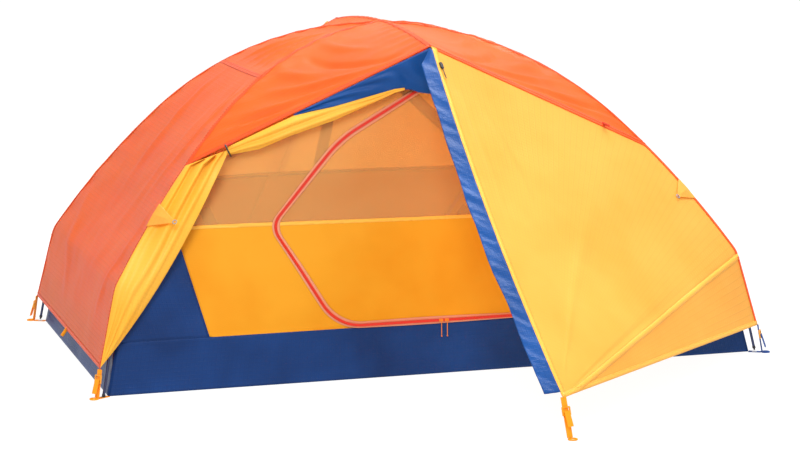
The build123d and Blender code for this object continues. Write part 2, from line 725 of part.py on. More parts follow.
corners = [(-1, -1), (1, -1), (1, 1), (-1, 1)]
shift_of = {(sx, sy): (-crossing_gap / 2 if sx * sy > 0 else crossing_gap / 2) for sx, sy in corners}
clip_sets = [clip_set(sx, sy, shift_of[(sx, sy)]) for sx, sy in corners]
corner_straps = [corner_strap(sx, sy) for sx, sy in corners]
corner_tabs = [corner_tab(sx, sy) for sx, sy in corners]
front_stake = Vector(vestibule_stake[0], -vestibule_stake[1], 0)
stake_side = Vector(0.96, 0.28, 0)
hem_in = (vestibule_edge(1, 0)[2] - hem_corner) * hem_share
hem_seat = hem_corner + hem_in - hem_in.normalized() * (webbing_thickness + slip) + zip_out * (cloth / 2)
front_strap, front_eye, front_buckle, _ = stake_strap(hem_seat, front_stake, stake_side)
front_flaps = [guy_flap(-1, gather_lift)[0], guy_flap(1, 2 * slip)[0]]
front_sliders = [zip_slider(x, 52.0) for x in (14.0, 34.0)]

nodes = {
    "main_pole_left_front": sections_a,
    "main_pole_right_front": sections_b,
    "brow_pole": brow_tubes,
    "pole_ferrules": sleeves_a + sleeves_b,
    "pole_tips": tips_a + tips_b + brow_caps,
    "shock_cords": cords_a + cords_b + brow_cords,
    "crown_clip": [crown_clip()],
    "pole_clips": [c for clips, _ in clip_sets for c in clips],
    "clip_tabs": [t for _, tabs in clip_sets for t in tabs],
    "floor_panel": [Pos(0, 0, cloth / 2) * Box(floor_length, floor_width, cloth)],
    "tub_front": [tub_front],
    "tub_back": [turned(tub_front)],
    "tub_ends": [tub_end, turned(tub_end)],
    "corner_gussets": gussets_front + [turned(g) for g in gussets_front],
    "lower_wall_front": [wall_lower],
    "lower_wall_back": [turned(wall_lower)],
    "lower_wall_ends": [lower_end, turned(lower_end)],
    "mesh_front": [wall_mesh],
    "mesh_back": [turned(wall_mesh)],
    "mesh_ends": [mesh_end, turned(mesh_end)],
    "roof_mesh_front": roof_quarters,
    "roof_mesh_back": [turned(q) for q in roof_quarters],
    "front_door_cloth": [door_lower],
    "front_door_mesh": [door_mesh],
    "front_door_zip": zip_tape,
    "back_door_cloth": [turned(door_lower)],
    "back_door_mesh": [turned(door_mesh)],
    "back_door_zip": [turned(z) for z in zip_tape],
    "front_zip_slider_left": [front_sliders[0]],
    "front_zip_slider_right": [front_sliders[1]],
    "back_zip_slider": [turned(front_sliders[1])],
    "corner_webbing": [tab for tab, _ in corner_tabs],
    "corner_grommets": [eye for _, eye in corner_tabs],
    "fly_end_left": [end_left],
    "fly_end_right": [turned(end_left)],
    "fly_crown_panels": [crown_left, turned(crown_left)],
    "fly_roof_front_left": [roof_left],
    "fly_roof_front_right": [roof_right],
    "fly_roof_back_left": [turned(roof_right)],
    "fly_roof_back_right": [turned(roof_left)],
    "front_vestibule_side": [side_right],
    "front_vestibule_door": [door_right],
    "front_storm_flap": [open_flap],
    "front_gathered_door": [gathered_door()],
    "front_brow_lining": [brow_lining()],
    "front_fly_slider": [fly_slider(0.06, 1)],
    "front_stake_strap": front_strap + [front_eye, front_buckle],
    "back_vestibule_sides": [turned(side_right), turned(side_left)],
    "back_left_door": [turned(door_right), turned(folded_flap)],
    "back_right_door": [turned(door_left)],
    "back_fly_slider": [turned(fly_slider(0.9, 2))],
    "back_stake_strap": [turned(s) for s in front_strap + [front_eye, front_buckle]],
    "corner_straps": [s for straps, eye, _, _ in corner_straps for s in straps + [eye]],
    "corner_buckles": [buckle for _, _, buckle, _ in corner_straps],
    "tie_backs": tie_back(-1, 0.17) + tie_back(1, 0.2),
    "guy_flap_front_left": front_flaps[0],
    "guy_flap_front_right": front_flaps[1],
    "guy_flap_back_left": [turned(s) for s in front_flaps[1]],
    "guy_flap_back_right": [turned(s) for s in guy_flap(-1, 2 * slip)[0]],
}

if __name__ == "__main__":
    os.makedirs("parts", exist_ok=True)
    for name, shapes in nodes.items():
        solids = [s for shape in shapes for s in shape.solids()]
        whole = solids[0] if len(solids) == 1 else Compound(children=solids)
        whole.label = name
        export_step(whole, f"parts/{name}.step")
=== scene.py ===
import bpy
import bmesh
from math import atan2, cos, degrees, exp, hypot, pi, radians, sin
from mathutils import Matrix, Vector, noise
from mathutils.bvhtree import BVHTree


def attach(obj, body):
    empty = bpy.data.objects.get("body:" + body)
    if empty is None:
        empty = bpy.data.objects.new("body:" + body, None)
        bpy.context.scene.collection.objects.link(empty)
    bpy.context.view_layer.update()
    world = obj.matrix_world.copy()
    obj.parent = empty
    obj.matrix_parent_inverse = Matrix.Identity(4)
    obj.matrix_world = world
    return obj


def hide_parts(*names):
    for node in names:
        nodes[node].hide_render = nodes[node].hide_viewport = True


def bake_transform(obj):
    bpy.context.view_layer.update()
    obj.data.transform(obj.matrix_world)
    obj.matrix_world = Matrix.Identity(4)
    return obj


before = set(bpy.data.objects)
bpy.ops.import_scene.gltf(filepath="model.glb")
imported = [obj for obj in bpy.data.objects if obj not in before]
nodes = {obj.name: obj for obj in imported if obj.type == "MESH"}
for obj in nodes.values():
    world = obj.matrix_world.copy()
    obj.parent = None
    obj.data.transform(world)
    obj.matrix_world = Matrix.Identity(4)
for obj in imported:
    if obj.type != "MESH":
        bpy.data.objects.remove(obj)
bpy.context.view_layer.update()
scene = bpy.context.scene

# the pitched tent, metres: +X along the floor, -Y out of the front door, +Z up
tent = {
    "floorLength": 2.235, "floorWidth": 1.372, "tubHeight": 0.170, "tubLean": 0.018, "wallHeight": 0.520,
    "gussetFoot": 0.774, "gussetAngle": 47.0, "clipDrop": 0.030, "cloth": 0.002,
    "polePeak": 1.1105, "kinkHeight": 0.343, "kinkInset": 0.074, "crownAngle": 41.5, "shoulderAngle": 53.2,
    "footHeight": 0.016, "footReach": 0.018, "flyGap": 0.0155,
    "browTop": 1.12465, "browReach": 0.625, "browDrop": 0.041, "browTipRise": 0.010,
    "hemHeight": 0.095, "hemReach": 0.030, "seamAngle": 44.0, "crossSeamAngle": 27.5,
    "hemCorner": Vector((0.088, -1.700, 0.122)),
}
halfLength, halfWidth = tent["floorLength"] / 2, tent["floorWidth"] / 2
diagonal = hypot(halfLength, halfWidth)
along, across = halfLength / diagonal, halfWidth / diagonal
upwards = Vector((0, 0, 1))
footR = diagonal + tent["footReach"]
kinkR = footR - tent["kinkInset"]
legSlope = degrees(atan2(tent["kinkHeight"] - tent["footHeight"], tent["kinkInset"]))


def arcRadii():
    s1 = sin(radians(tent["crownAngle"]))
    s2 = sin(radians(tent["shoulderAngle"])) - s1
    c1 = 1 - cos(radians(tent["crownAngle"]))
    c2 = cos(radians(tent["crownAngle"])) - cos(radians(tent["shoulderAngle"]))
    drop = tent["polePeak"] - tent["kinkHeight"]
    det = s1 * c2 - s2 * c1
    return (kinkR * c2 - s2 * drop) / det, (s1 * drop - c1 * kinkR) / det


crownRadius, shoulderRadius = arcRadii()


def poleRz(angle, offset):
    a, turn = radians(angle), radians(tent["crownAngle"])
    radius, rMid, zMid = crownRadius, 0.0, tent["polePeak"] - crownRadius
    if angle > tent["crownAngle"]:
        radius = shoulderRadius
        rMid = (crownRadius - shoulderRadius) * sin(turn)
        zMid += (crownRadius - shoulderRadius) * cos(turn)
    return rMid + (radius + offset) * sin(a), zMid + (radius + offset) * cos(a)


def kinkRz(offset):
    a, b = radians(tent["shoulderAngle"]), radians(legSlope)
    share = offset / (1 + cos(b - a))
    return kinkR + share * (sin(a) + sin(b)), tent["kinkHeight"] + share * (cos(a) + cos(b))


def onDiagonal(rz, sideX, sideY):
    return Vector((sideX * rz[0] * along, sideY * rz[0] * across, rz[1]))


def polePoints(fromAngle, toAngle, offset, sideX, sideY, count=24):
    steps = [fromAngle + (toAngle - fromAngle) * i / (count - 1) for i in range(count)]
    return [onDiagonal(poleRz(a, offset), sideX, sideY) for a in steps]


def resample(points, count):
    # evenly spaced points along a polyline
    lengths = [0.0]
    for a, b in zip(points, points[1:]):
        lengths.append(lengths[-1] + (b - a).length)
    out, k = [], 0
    for i in range(count):
        want = lengths[-1] * i / (count - 1)
        while k < len(points) - 2 and lengths[k + 1] < want:
            k += 1
        span = max(lengths[k + 1] - lengths[k], 1e-9)
        out.append(points[k].lerp(points[k + 1], (want - lengths[k]) / span))
    return out


def rounded(points, passes=2):
    # corner cutting, ends kept
    for _ in range(passes):
        cut = [points[0]]
        for a, b in zip(points, points[1:]):
            cut += [a.lerp(b, 0.25), a.lerp(b, 0.75)]
        points = cut + [points[-1]]
    return points


def loft(edgeA, edgeB, rows, cols):
    a, b = resample(edgeA, rows), resample(edgeB, rows)
    return [[p.lerp(q, j / (cols - 1)) for j in range(cols)] for p, q in zip(a, b)]


def gridOf(rows, cols, place):
    # points of a sheet, from its two shares
    return [[place(i / (rows - 1), j / (cols - 1)) for j in range(cols)] for i in range(rows)]


def gridNormals(grid, outward):
    rows, cols = len(grid), len(grid[0])
    normals = []
    for i in range(rows):
        line = []
        for j in range(cols):
            du = grid[min(i + 1, rows - 1)][j] - grid[max(i - 1, 0)][j]
            dv = grid[i][min(j + 1, cols - 1)] - grid[i][max(j - 1, 0)]
            n = du.cross(dv)
            n = n.normalized() if n.length > 1e-9 else outward.copy()
            line.append(n if n.dot(outward) > 0 else -n)
        normals.append(line)
    return normals


def crease(s, t, line):
    # soft ridge along a straight line of the panel, in shares of its height and width
    s0, t0, s1, t1, width, height = line
    ds, dt = s1 - s0, t1 - t0
    share = max(0.0, min(1.0, ((s - s0) * ds + (t - t0) * dt) / (ds * ds + dt * dt)))
    gap = hypot(s - s0 - share * ds, t - t0 - share * dt)
    fade = sin(pi * min(1.0, max(0.0, 0.08 + share * 0.9)))
    return height * fade * exp(-(gap / width) ** 2)


def shaped(grid, outward, look, seed):
    # moves a panel's points along its normals: sag, slack ripples and creases; edges stay put
    rows, cols = len(grid), len(grid[0])
    normals = gridNormals(grid, outward)
    for i in range(rows):
        for j in range(cols):
            s, t = i / (rows - 1), j / (cols - 1)
            hold = min(1.0, 9 * s * (1 - s)) * min(1.0, 9 * t * (1 - t))
            p = grid[i][j]
            slack = noise.noise(p * look["grain"] + Vector((seed, 0, 0)))
            fine = noise.noise(p * look["grain"] * 3.7 + Vector((0, seed, 0)))
            move = -look["sag"] * 16 * s * (1 - s) * t * (1 - t)
            move += hold * look["slack"] * (slack + 0.4 * fine)
            move += hold * sum(crease(s, t, line) for line in look.get("creases", ()))
            if "pucker" in look:
                edge = exp(-t / 0.10) + exp(-(1 - t) / 0.10)
                wave = sin(i * look["puckerStep"] + 2 * slack)
                move += look["pucker"] * edge * min(1.0, 30 * t * (1 - t)) * wave
            grid[i][j] = p + normals[i][j] * move
    return grid


def hexColour(code):
    # sRGB hex to linear
    out = []
    for i in (1, 3, 5):
        v = int(code[i:i + 2], 16) / 255
        out.append(v / 12.92 if v <= 0.04045 else ((v + 0.055) / 1.055) ** 2.4)
    return (*out, 1.0)


def addNode(tree, kind, settings=None, links=None):
    # settings by attribute or by input, links as input: output socket
    node = tree.nodes.new(kind)
    for key, value in (settings or {}).items():
        if isinstance(key, int) or key in node.inputs:
            node.inputs[key].default_value = value
        else:
            setattr(node, key, value)
    for key, socket in (links or {}).items():
        tree.links.new(socket, node.inputs[key])
    return node


def newMaterial(name, settings):
    material = bpy.data.materials.new(name)
    material.use_nodes = True
    shader = material.node_tree.nodes["Principled BSDF"]
    for key, value in settings.items():
        shader.inputs[key].default_value = value
    return material, material.node_tree, shader


# wave texture: bands repeat every 2 pi / 20 units at scale 1
wavePeriod = 2 * pi / 20


def wovenCloth(name, light, dark, look):
    # plain cloth with a rip-stop grid: thread by thread sheen, colour varies softly at random
    material, tree, shader = newMaterial(name, {"Roughness": look["rough"], "Specular IOR Level": look["specular"],
                                                "IOR": 1.53, "Alpha": look["alpha"]})
    place = addNode(tree, "ShaderNodeTexCoord")
    pools = addNode(tree, "ShaderNodeTexNoise", {"Scale": 3.0, "Detail": 3.0, "Roughness": 0.55},
                    {"Vector": place.outputs["Object"]})
    ramp = addNode(tree, "ShaderNodeValToRGB", links={"Fac": pools.outputs["Fac"]})
    for stop, position, colour in zip(ramp.color_ramp.elements, (0.32, 0.62), (dark, light)):
        stop.position, stop.color = position, hexColour(colour)
    scale = wavePeriod / look["grid"]
    bands = [addNode(tree, "ShaderNodeTexWave", {"bands_direction": way, "Scale": scale},
                     {"Vector": place.outputs["UV"]}) for way in ("X", "Y")]
    grid = addNode(tree, "ShaderNodeMath", {"operation": "MAXIMUM"},
                   {0: bands[0].outputs["Fac"], 1: bands[1].outputs["Fac"]})
    line = addNode(tree, "ShaderNodeMapRange", {"From Min": 0.90, "From Max": 1.0, "To Min": 0.0, "To Max": 1.0},
                   {"Value": grid.outputs[0]})
    # colour sockets of the mix node are numbers 6, 7 and output 2
    tint = addNode(tree, "ShaderNodeMix",
                   {"data_type": "RGBA", "blend_type": "MULTIPLY", 7: (0.95, 0.95, 0.95, 1.0)},
                   {0: line.outputs["Result"], 6: ramp.outputs["Color"]})
    tree.links.new(tint.outputs[2], shader.inputs["Base Color"])
    slack = addNode(tree, "ShaderNodeTexNoise", {"Scale": look["ripple"], "Detail": 4.0},
                    {"Vector": place.outputs["Object"]})
    height = addNode(tree, "ShaderNodeMath", {"operation": "MULTIPLY_ADD", 1: look["rippleDepth"]},
                     {0: slack.outputs["Fac"], 2: line.outputs["Result"]})
    bump = addNode(tree, "ShaderNodeBump", {"Strength": look["bump"], "Distance": 0.002},
                   {"Height": height.outputs[0]})
    tree.links.new(bump.outputs["Normal"], shader.inputs["Normal"])
    if "glow" in look:
        through = addNode(tree, "ShaderNodeBsdfTranslucent", None,
                          {"Color": tint.outputs[2], "Normal": bump.outputs["Normal"]})
        both = addNode(tree, "ShaderNodeMixShader", {0: look["glow"]},
                       {1: shader.outputs[0], 2: through.outputs[0]})
        tree.links.new(both.outputs[0], tree.nodes["Material Output"].inputs["Surface"])
    return material


def plainMaterial(name, colour, rough, metallic=0.0, grain=180.0, depth=0.15):
    material, tree, shader = newMaterial(name, {"Roughness": rough, "Metallic": metallic})
    place = addNode(tree, "ShaderNodeTexCoord")
    speck = addNode(tree, "ShaderNodeTexNoise", {"Scale": grain, "Detail": 3.0},
                    {"Vector": place.outputs["Object"]})
    ramp = addNode(tree, "ShaderNodeValToRGB", links={"Fac": speck.outputs["Fac"]})
    base = hexColour(colour)
    for stop, shade in zip(ramp.color_ramp.elements, (0.8, 1.0)):
        stop.color = (base[0] * shade, base[1] * shade, base[2] * shade, 1.0)
    tree.links.new(ramp.outputs["Color"], shader.inputs["Base Color"])
    bump = addNode(tree, "ShaderNodeBump", {"Strength": depth, "Distance": 0.0006},
                   {"Height": speck.outputs["Fac"]})
    tree.links.new(bump.outputs["Normal"], shader.inputs["Normal"])
    return material


# rip-stop squares are 5 mm on such cloth; drawn at 14 mm so that they show
weave = {"grid": 0.014, "specular": 0.18, "ripple": 22.0, "rippleDepth": 0.6, "alpha": 1.0}
flyCloth = {**weave, "rough": 0.38, "bump": 0.22, "glow": 0.50}
crinkled = {**flyCloth, "rough": 0.33, "specular": 0.36, "bump": 0.5, "ripple": 8.0, "rippleDepth": 4.0}
limpFlap = {**flyCloth, "rough": 0.42, "specular": 0.2, "glow": 0.1}
folded = {**flyCloth, "glow": 0.22}
felled = {**flyCloth, "grid": 0.006, "glow": 0.1}
coated = {**weave, "rough": 0.40, "specular": 0.14, "bump": 0.4, "ripple": 7.0, "rippleDepth": 3.0}
breathable = {**flyCloth, "grid": 0.005, "rough": 0.62, "bump": 0.12, "glow": 0.25}
net = {**weave, "grid": 0.008, "alpha": 0.34, "rough": 0.8, "bump": 0.1}
tape = {**weave, "grid": 0.004, "bump": 0.5, "rough": 0.6}
clothRows = {
    # silicone-coated rip-stop nylon, glossy enough to catch broad soft highlights, light shines through it
    "flyOrange": ("ripstop_nylon_orange", "#FF8430", "#FF7824", crinkled),
    "seamOrange": ("felled_seam_orange", "#F75C24", "#EE521C", felled),
    "flyYellow": ("ripstop_nylon_yellow", "#FFCE62", "#FFC556", flyCloth),
    # the gathered door is the vestibule's yellow cloth, drawn deeper as painted shade of its bunched folds
    "shadedGatherYellow": ("ripstop_nylon_yellow_painted_shade", "#FFCA50", "#FFBC3A", folded),
    "bandYellow": ("felled_seam_yellow", "#FFBE4C", "#FAB440", felled),
    "flapBlue": ("ripstop_nylon_blue", "#0F4F98", "#0A4080", limpFlap),
    # thick coated floor nylon: darker, smoother, faint creases
    "tubNavy": ("coated_floor_nylon_navy", "#163C78", "#102E60", coated),
    # uncoated breathable nylon: matt and thin
    "wallAmber": ("breathable_nylon_amber", "#F6AE26", "#F0A018", breathable),
    # insect mesh: holes of 1 mm, drawn as a coarser net, seen half through
    "mesh": ("insect_mesh_tan", "#FAB96E", "#F5AD62", net),
    # woven tape and webbing: close ribs across, matt
    "tapeBrown": ("binding_tape_red_brown", "#B02A18", "#A02212", tape),
    "webbingYellow": ("polyester_webbing_yellow", "#FFA41E", "#F59210", tape),
    "webbingNavy": ("polyester_webbing_navy", "#1C4488", "#16346C", tape),
    "zipTape": ("woven_zip_tape_pink", "#E89A78", "#DE8C6C", {**tape, "grid": 0.003}),
}
# hard pieces and cords: moulded parts are faintly mottled, cords carry a fine braid
hardRows = {
    "coilRed": ("nylon_zip_coil_red", "#E62E16", 0.45),
    "poleTube": ("anodised_aluminium_dark", "#4A4F6C", 0.34, 1.0, 400.0, 0.05),
    "acetalBlack": ("moulded_acetal_black", "#1C1C1F", 0.5),
    "acetalAmber": ("moulded_acetal_amber", "#F0A020", 0.45),
    "grommet": ("plated_brass_grommet", "#C0C2C4", 0.3, 1.0, 300.0, 0.05),
    "cordGrey": ("braided_cord_grey", "#9A9C9E", 0.8, 0.0, 900.0, 0.4),
    "cordOrange": ("braided_cord_orange", "#F58A1E", 0.75, 0.0, 900.0, 0.4),
    "cordRed": ("braided_cord_red", "#D83A20", 0.75, 0.0, 900.0, 0.4),
    "threadRust": ("bonded_thread_rust", "#D64E20", 0.6, 0.0, 900.0, 0.2),
    "threadGold": ("bonded_thread_gold", "#EFA436", 0.6, 0.0, 900.0, 0.2),
}
cloths = {key: wovenCloth(*row) for key, row in clothRows.items()}
hard = {key: plainMaterial(*row) for key, row in hardRows.items()}
print("materials made:", len(bpy.data.materials))


def meshObject(name, points, faces, material, uvs=None, smooth=True):
    mesh = bpy.data.meshes.new(name)
    mesh.from_pydata([tuple(p) for p in points], [], faces)
    if uvs:
        layer = mesh.uv_layers.new(name="panel")
        for loop in mesh.loops:
            layer.data[loop.index].uv = uvs[loop.vertex_index]
    mesh.validate()
    for polygon in mesh.polygons:
        polygon.use_smooth = smooth
    mesh.materials.append(material)
    piece = bpy.data.objects.new(name, mesh)
    scene.collection.objects.link(piece)
    return piece


def gridsObject(name, grids, material, outward):
    # quad sheets in one mesh, UVs in metres, faces turned to outward
    points, uvs, faces = [], [], []
    for grid in grids:
        rows, cols, base = len(grid), len(grid[0]), len(points)
        points += [p for row in grid for p in row]
        v = 0.0
        for i in range(rows):
            if i:
                v += (grid[i][cols // 2] - grid[i - 1][cols // 2]).length
            u = 0.0
            for j in range(cols):
                if j:
                    u += (grid[i][j] - grid[i][j - 1]).length
                uvs.append((u, v))
        middle = grid[rows // 2 - 1]
        n = (grid[rows // 2][cols // 2] - middle[cols // 2]).cross(middle[cols // 2] - middle[cols // 2 - 1])
        for i in range(rows - 1):
            for j in range(cols - 1):
                a = base + i * cols + j
                face = (a, a + cols, a + cols + 1, a + 1)
                faces.append(face if n.dot(outward) > 0 else face[::-1])
    return meshObject(name, points, faces, material, uvs)


def edgeBand(grid, edge, width, lift, outward):
    # a strip of the panel along one of its edges, lifted off it
    normals = gridNormals(grid, outward)
    lines = [list(zip(row, line)) for row, line in zip(grid, normals)]
    if edge in ("top", "bottom"):
        lines = [list(line) for line in zip(*lines)]
    if edge in ("last", "bottom"):
        lines = [line[::-1] for line in lines]
    band = []
    for line in lines:
        gone, k, row = 0.0, 0, []
        for want in (0.0, width / 2, width):
            while k < len(line) - 2 and gone + (line[k + 1][0] - line[k][0]).length < want:
                gone += (line[k + 1][0] - line[k][0]).length
                k += 1
            span = max((line[k + 1][0] - line[k][0]).length, 1e-9)
            share = min(1.0, (want - gone) / span)
            row.append(line[k][0].lerp(line[k + 1][0], share) + line[k][1] * lift)
        band.append(row)
    return band


def alongTree(name):
    # a small bar repeated along lines: stitches, zip teeth
    tree = bpy.data.node_groups.new(name, "GeometryNodeTree")
    sockets = {}
    inputs = {"Lines": "Geometry", "Spacing": "Float", "Bar": "Vector", "Material": "Material"}
    for label, kind in inputs.items():
        socket = tree.interface.new_socket(label, in_out="INPUT", socket_type="NodeSocket" + kind)
        sockets[label] = socket.identifier
    tree.interface.new_socket("Geometry", in_out="OUTPUT", socket_type="NodeSocketGeometry")
    given = addNode(tree, "NodeGroupInput")
    curve = addNode(tree, "GeometryNodeMeshToCurve", None, {"Mesh": given.outputs["Lines"]})
    spread = addNode(tree, "GeometryNodeResampleCurve", {"mode": "LENGTH"},
                     {"Curve": curve.outputs["Curve"], "Length": given.outputs["Spacing"]})
    tangent = addNode(tree, "GeometryNodeInputTangent")
    turn = addNode(tree, "FunctionNodeAlignRotationToVector", {"axis": "X"},
                   {"Vector": tangent.outputs["Tangent"]})
    bar = addNode(tree, "GeometryNodeMeshCube", None, {"Size": given.outputs["Bar"]})
    placed = addNode(tree, "GeometryNodeInstanceOnPoints", None,
                     {"Points": spread.outputs["Curve"], "Instance": bar.outputs["Mesh"],
                      "Rotation": turn.outputs["Rotation"]})
    real = addNode(tree, "GeometryNodeRealizeInstances", None, {"Geometry": placed.outputs["Instances"]})
    dressed = addNode(tree, "GeometryNodeSetMaterial", None,
                      {"Geometry": real.outputs["Geometry"], "Material": given.outputs["Material"]})
    addNode(tree, "NodeGroupOutput", None, {"Geometry": dressed.outputs["Geometry"]})
    return tree, sockets


barTree, barSockets = alongTree("bars_along_lines")


def barsAlong(name, paths, spacing, bar, material, body):
    points, edges = [], []
    for path in paths:
        edges += [(len(points) + k, len(points) + k + 1) for k in range(len(path) - 1)]
        points += path
    mesh = bpy.data.meshes.new(name)
    mesh.from_pydata([tuple(p) for p in points], edges, [])
    piece = bpy.data.objects.new(name, mesh)
    scene.collection.objects.link(piece)
    modifier = piece.modifiers.new("bars", "NODES")
    modifier.node_group = barTree
    for label, value in (("Spacing", spacing), ("Bar", bar), ("Material", material)):
        modifier[barSockets[label]] = value
    made = bpy.data.meshes.new_from_object(piece.evaluated_get(bpy.context.evaluated_depsgraph_get()))
    piece.modifiers.remove(modifier)
    piece.data = made
    if body:
        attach(piece, body)
    return piece


def cordRing(name, centre, axis, radius, tube, material, body):
    side = axis.orthogonal().normalized()
    rise = axis.cross(side).normalized()
    points, faces = [], []
    for i in range(32):
        ray = side * cos(2 * pi * i / 32) + rise * sin(2 * pi * i / 32)
        for j in range(8):
            a = 2 * pi * j / 8
            points.append(centre + ray * (radius + tube * cos(a)) + axis * tube * sin(a))
            k, m = (i + 1) % 32, (j + 1) % 8
            faces.append((i * 8 + j, k * 8 + j, k * 8 + m, i * 8 + m))
    ring = meshObject(name, points, faces, material)
    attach(ring, body)


def trimmed(piece, height, keepBelow):
    # cuts a sheet level at a height, keeping one side
    bm = bmesh.new()
    bm.from_mesh(piece.data)
    geometry = bm.verts[:] + bm.edges[:] + bm.faces[:]
    bmesh.ops.bisect_plane(bm, geom=geometry, plane_co=(0, 0, height), plane_no=(0, 0, 1),
                           clear_outer=keepBelow, clear_inner=not keepBelow)
    bm.to_mesh(piece.data)
    bm.free()


def sheetArea(piece):
    return sum(p.area for p in piece.data.polygons)


def flatSize(piece, area):
    # smallest rectangle round the panel, laid flat along its own plane
    normal = sum((p.normal * p.area for p in piece.data.polygons), Vector())
    sideways = normal.orthogonal().normalized()
    upright = normal.cross(sideways).normalized()
    best = None
    for k in range(30):
        turn = pi / 2 * k / 30
        axes = (sideways * cos(turn) + upright * sin(turn), upright * cos(turn) - sideways * sin(turn))
        spans = []
        for axis in axes:
            reach = [v.co.dot(axis) for v in piece.data.vertices]
            spans.append(max(reach) - min(reach))
        if best is None or spans[0] * spans[1] < best[0] * best[1]:
            best = spans
    return max(best[0], area / best[1]), best[1]


def cloth(piece, body, slot, replaced=(), thickness=0.0012, flat=None):
    # a sewn panel, given its thickness
    area = sheetArea(piece)
    flat = flat or flatSize(piece, area)
    solidify = piece.modifiers.new("thickness", "SOLIDIFY")
    solidify.thickness, solidify.offset = thickness, 0.0
    thick = bpy.data.meshes.new_from_object(piece.evaluated_get(bpy.context.evaluated_depsgraph_get()))
    piece.modifiers.remove(solidify)
    piece.data = thick
    if body:
        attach(piece, body)
    if replaced:
        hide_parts(*replaced)
    return piece


def panel(name, grid, look, outward, slot, replaced=(), body="root"):
    return cloth(gridsObject(name, [grid], cloths[look], outward), body, slot, replaced)


def backTurn(points):
    return [Vector((-p.x, -p.y, p.z)) for p in points]


def turnedGrid(grid):
    return [backTurn(row) for row in grid]


def faced(grid, back):
    # a front panel as it is, or half a turn round for the back
    return turnedGrid(grid) if back else grid


def endName(back):
    return "back" if back else "front"


def sideName(sideX):
    return "left" if sideX < 0 else "right"


# fly edges: down a pole leg, along the brow, and the straight seam between them
def flyLeg(fromAngle, sideX, sideY, lift=0.0):
    offset = tent["flyGap"] + lift
    leg = polePoints(fromAngle, tent["shoulderAngle"] - 0.6, offset, sideX, sideY)
    foot = onDiagonal((diagonal + tent["hemReach"] + lift, tent["hemHeight"]), sideX, sideY)
    kink = onDiagonal(kinkRz(offset), sideX, sideY)
    return leg[:-1] + rounded([leg[-1], kink, kink.lerp(foot, 0.25)]) + [foot]


def browCurve(sideY, steps=29):
    top, reach = tent["browTop"] + tent["browTipRise"], tent["browReach"] + 0.008
    return [Vector((0, sideY * reach * k / steps, top - tent["browDrop"] * (k / steps) ** 2))
            for k in range(steps + 1)]


browTip = browCurve(-1)[-1]
flyLook = {
    "end": {"sag": 0.022, "slack": 0.007, "grain": 3.2, "pucker": 0.0035, "puckerStep": 0.55,
            "creases": [(0.02, 0.06, 0.55, 0.30, 0.022, 0.010), (0.03, 0.15, 0.40, 0.24, 0.016, -0.007),
                        (0.45, 0.05, 0.98, 0.22, 0.018, 0.007), (0.55, 0.95, 0.98, 0.60, 0.025, 0.007),
                        (0.10, 0.30, 0.80, 0.40, 0.035, 0.006), (0.02, 0.72, 0.60, 0.62, 0.03, 0.008)]},
    "crown": {"sag": 0.010, "slack": 0.005, "grain": 4.0, "pucker": 0.004, "puckerStep": 0.8,
              "creases": [(0.45, 0.06, 0.99, 0.24, 0.022, 0.011), (0.50, 0.20, 0.99, 0.40, 0.022, 0.012),
                          (0.40, 0.45, 0.99, 0.56, 0.024, 0.011), (0.52, 0.70, 0.99, 0.74, 0.024, 0.010)]},
    "roof": {"sag": 0.012, "slack": 0.005, "grain": 4.0, "pucker": 0.0035, "puckerStep": 0.8,
             "creases": [(0.98, 0.92, 0.70, 0.12, 0.022, 0.013), (0.99, 0.80, 0.82, 0.10, 0.018, 0.012),
                         (0.99, 0.60, 0.90, 0.08, 0.015, 0.010), (0.95, 0.95, 0.48, 0.20, 0.024, -0.012),
                         (0.30, 0.10, 0.62, 0.75, 0.032, 0.011), (0.93, 0.40, 0.86, 0.05, 0.013, -0.009),
                         (0.55, 0.06, 0.75, 0.50, 0.026, 0.010)]},
}

# stitches of 3 mm, drawn at 7 mm so that they show; two rows, as shares of the seam's width
stitch = {"spacing": 0.011, "bar": (0.007, 0.0016, 0.0016), "rows": (0.25, 0.85)}
seams = {"orange": [], "stitches": []}
seamWidth = {"ridge": 0.011, "cross": 0.010, "hem": 0.013, "roofHem": 0.024, "lift": 0.0016}


def sewSeams(grid, outward, **edges):
    for edge, kind in edges.items():
        band = edgeBand(grid, edge, seamWidth[kind], seamWidth["lift"], outward)
        seams["orange"].append(band)
        seams["stitches"] += [[row[0].lerp(row[2], share) for row in band] for share in stitch["rows"]]


hemTab = {"half": 0.006, "reaches": (-0.008, 0.0, 0.010, 0.020, 0.028)}


def flyEnd(sideX):
    name = sideName(sideX)
    out = Vector((sideX, 0, 0.4))
    legs = [flyLeg(tent["crossSeamAngle"], sideX, sideY) for sideY in (-1, 1)]
    grid = shaped(loft(*legs, 110, 80), out, flyLook["end"], 3.0 + sideX)
    panel(f"fly_end_{name}_sheet", grid, "flyOrange", out, "fly_orange", ["fly_end_" + name])
    sewSeams(grid, out, first="ridge", last="ridge", top="cross", bottom="hem")
    # a loop of webbing sewn on edge at the middle of the hem
    middle = grid[-1][len(grid[-1]) // 2]
    hang, wide = Vector((sideX * 0.6, 0, -0.8)), Vector((sideX * 0.8, 0, 0.6)) * hemTab["half"]
    line = [middle + hang * reach for reach in hemTab["reaches"]]
    tab = [[p - wide, p, p + wide] for p in line]
    bandObject("hem_tab_" + name, [tab], cloths["webbingYellow"], "root", "webbing_yellow")
    edges = [[browCurve(-1)[0]] + polePoints(3, tent["crossSeamAngle"], tent["flyGap"], sideX, sideY)
             for sideY in (-1, 1)]
    grid = shaped(loft(*edges, 60, 50), upwards, flyLook["crown"], 7.0 + sideX)
    panel(f"fly_crown_{name}_sheet", grid, "flyOrange", upwards, "fly_orange",
          ["fly_crown_panels"] if sideX < 0 else ())
    sewSeams(grid, upwards, first="ridge", last="ridge", bottom="cross")


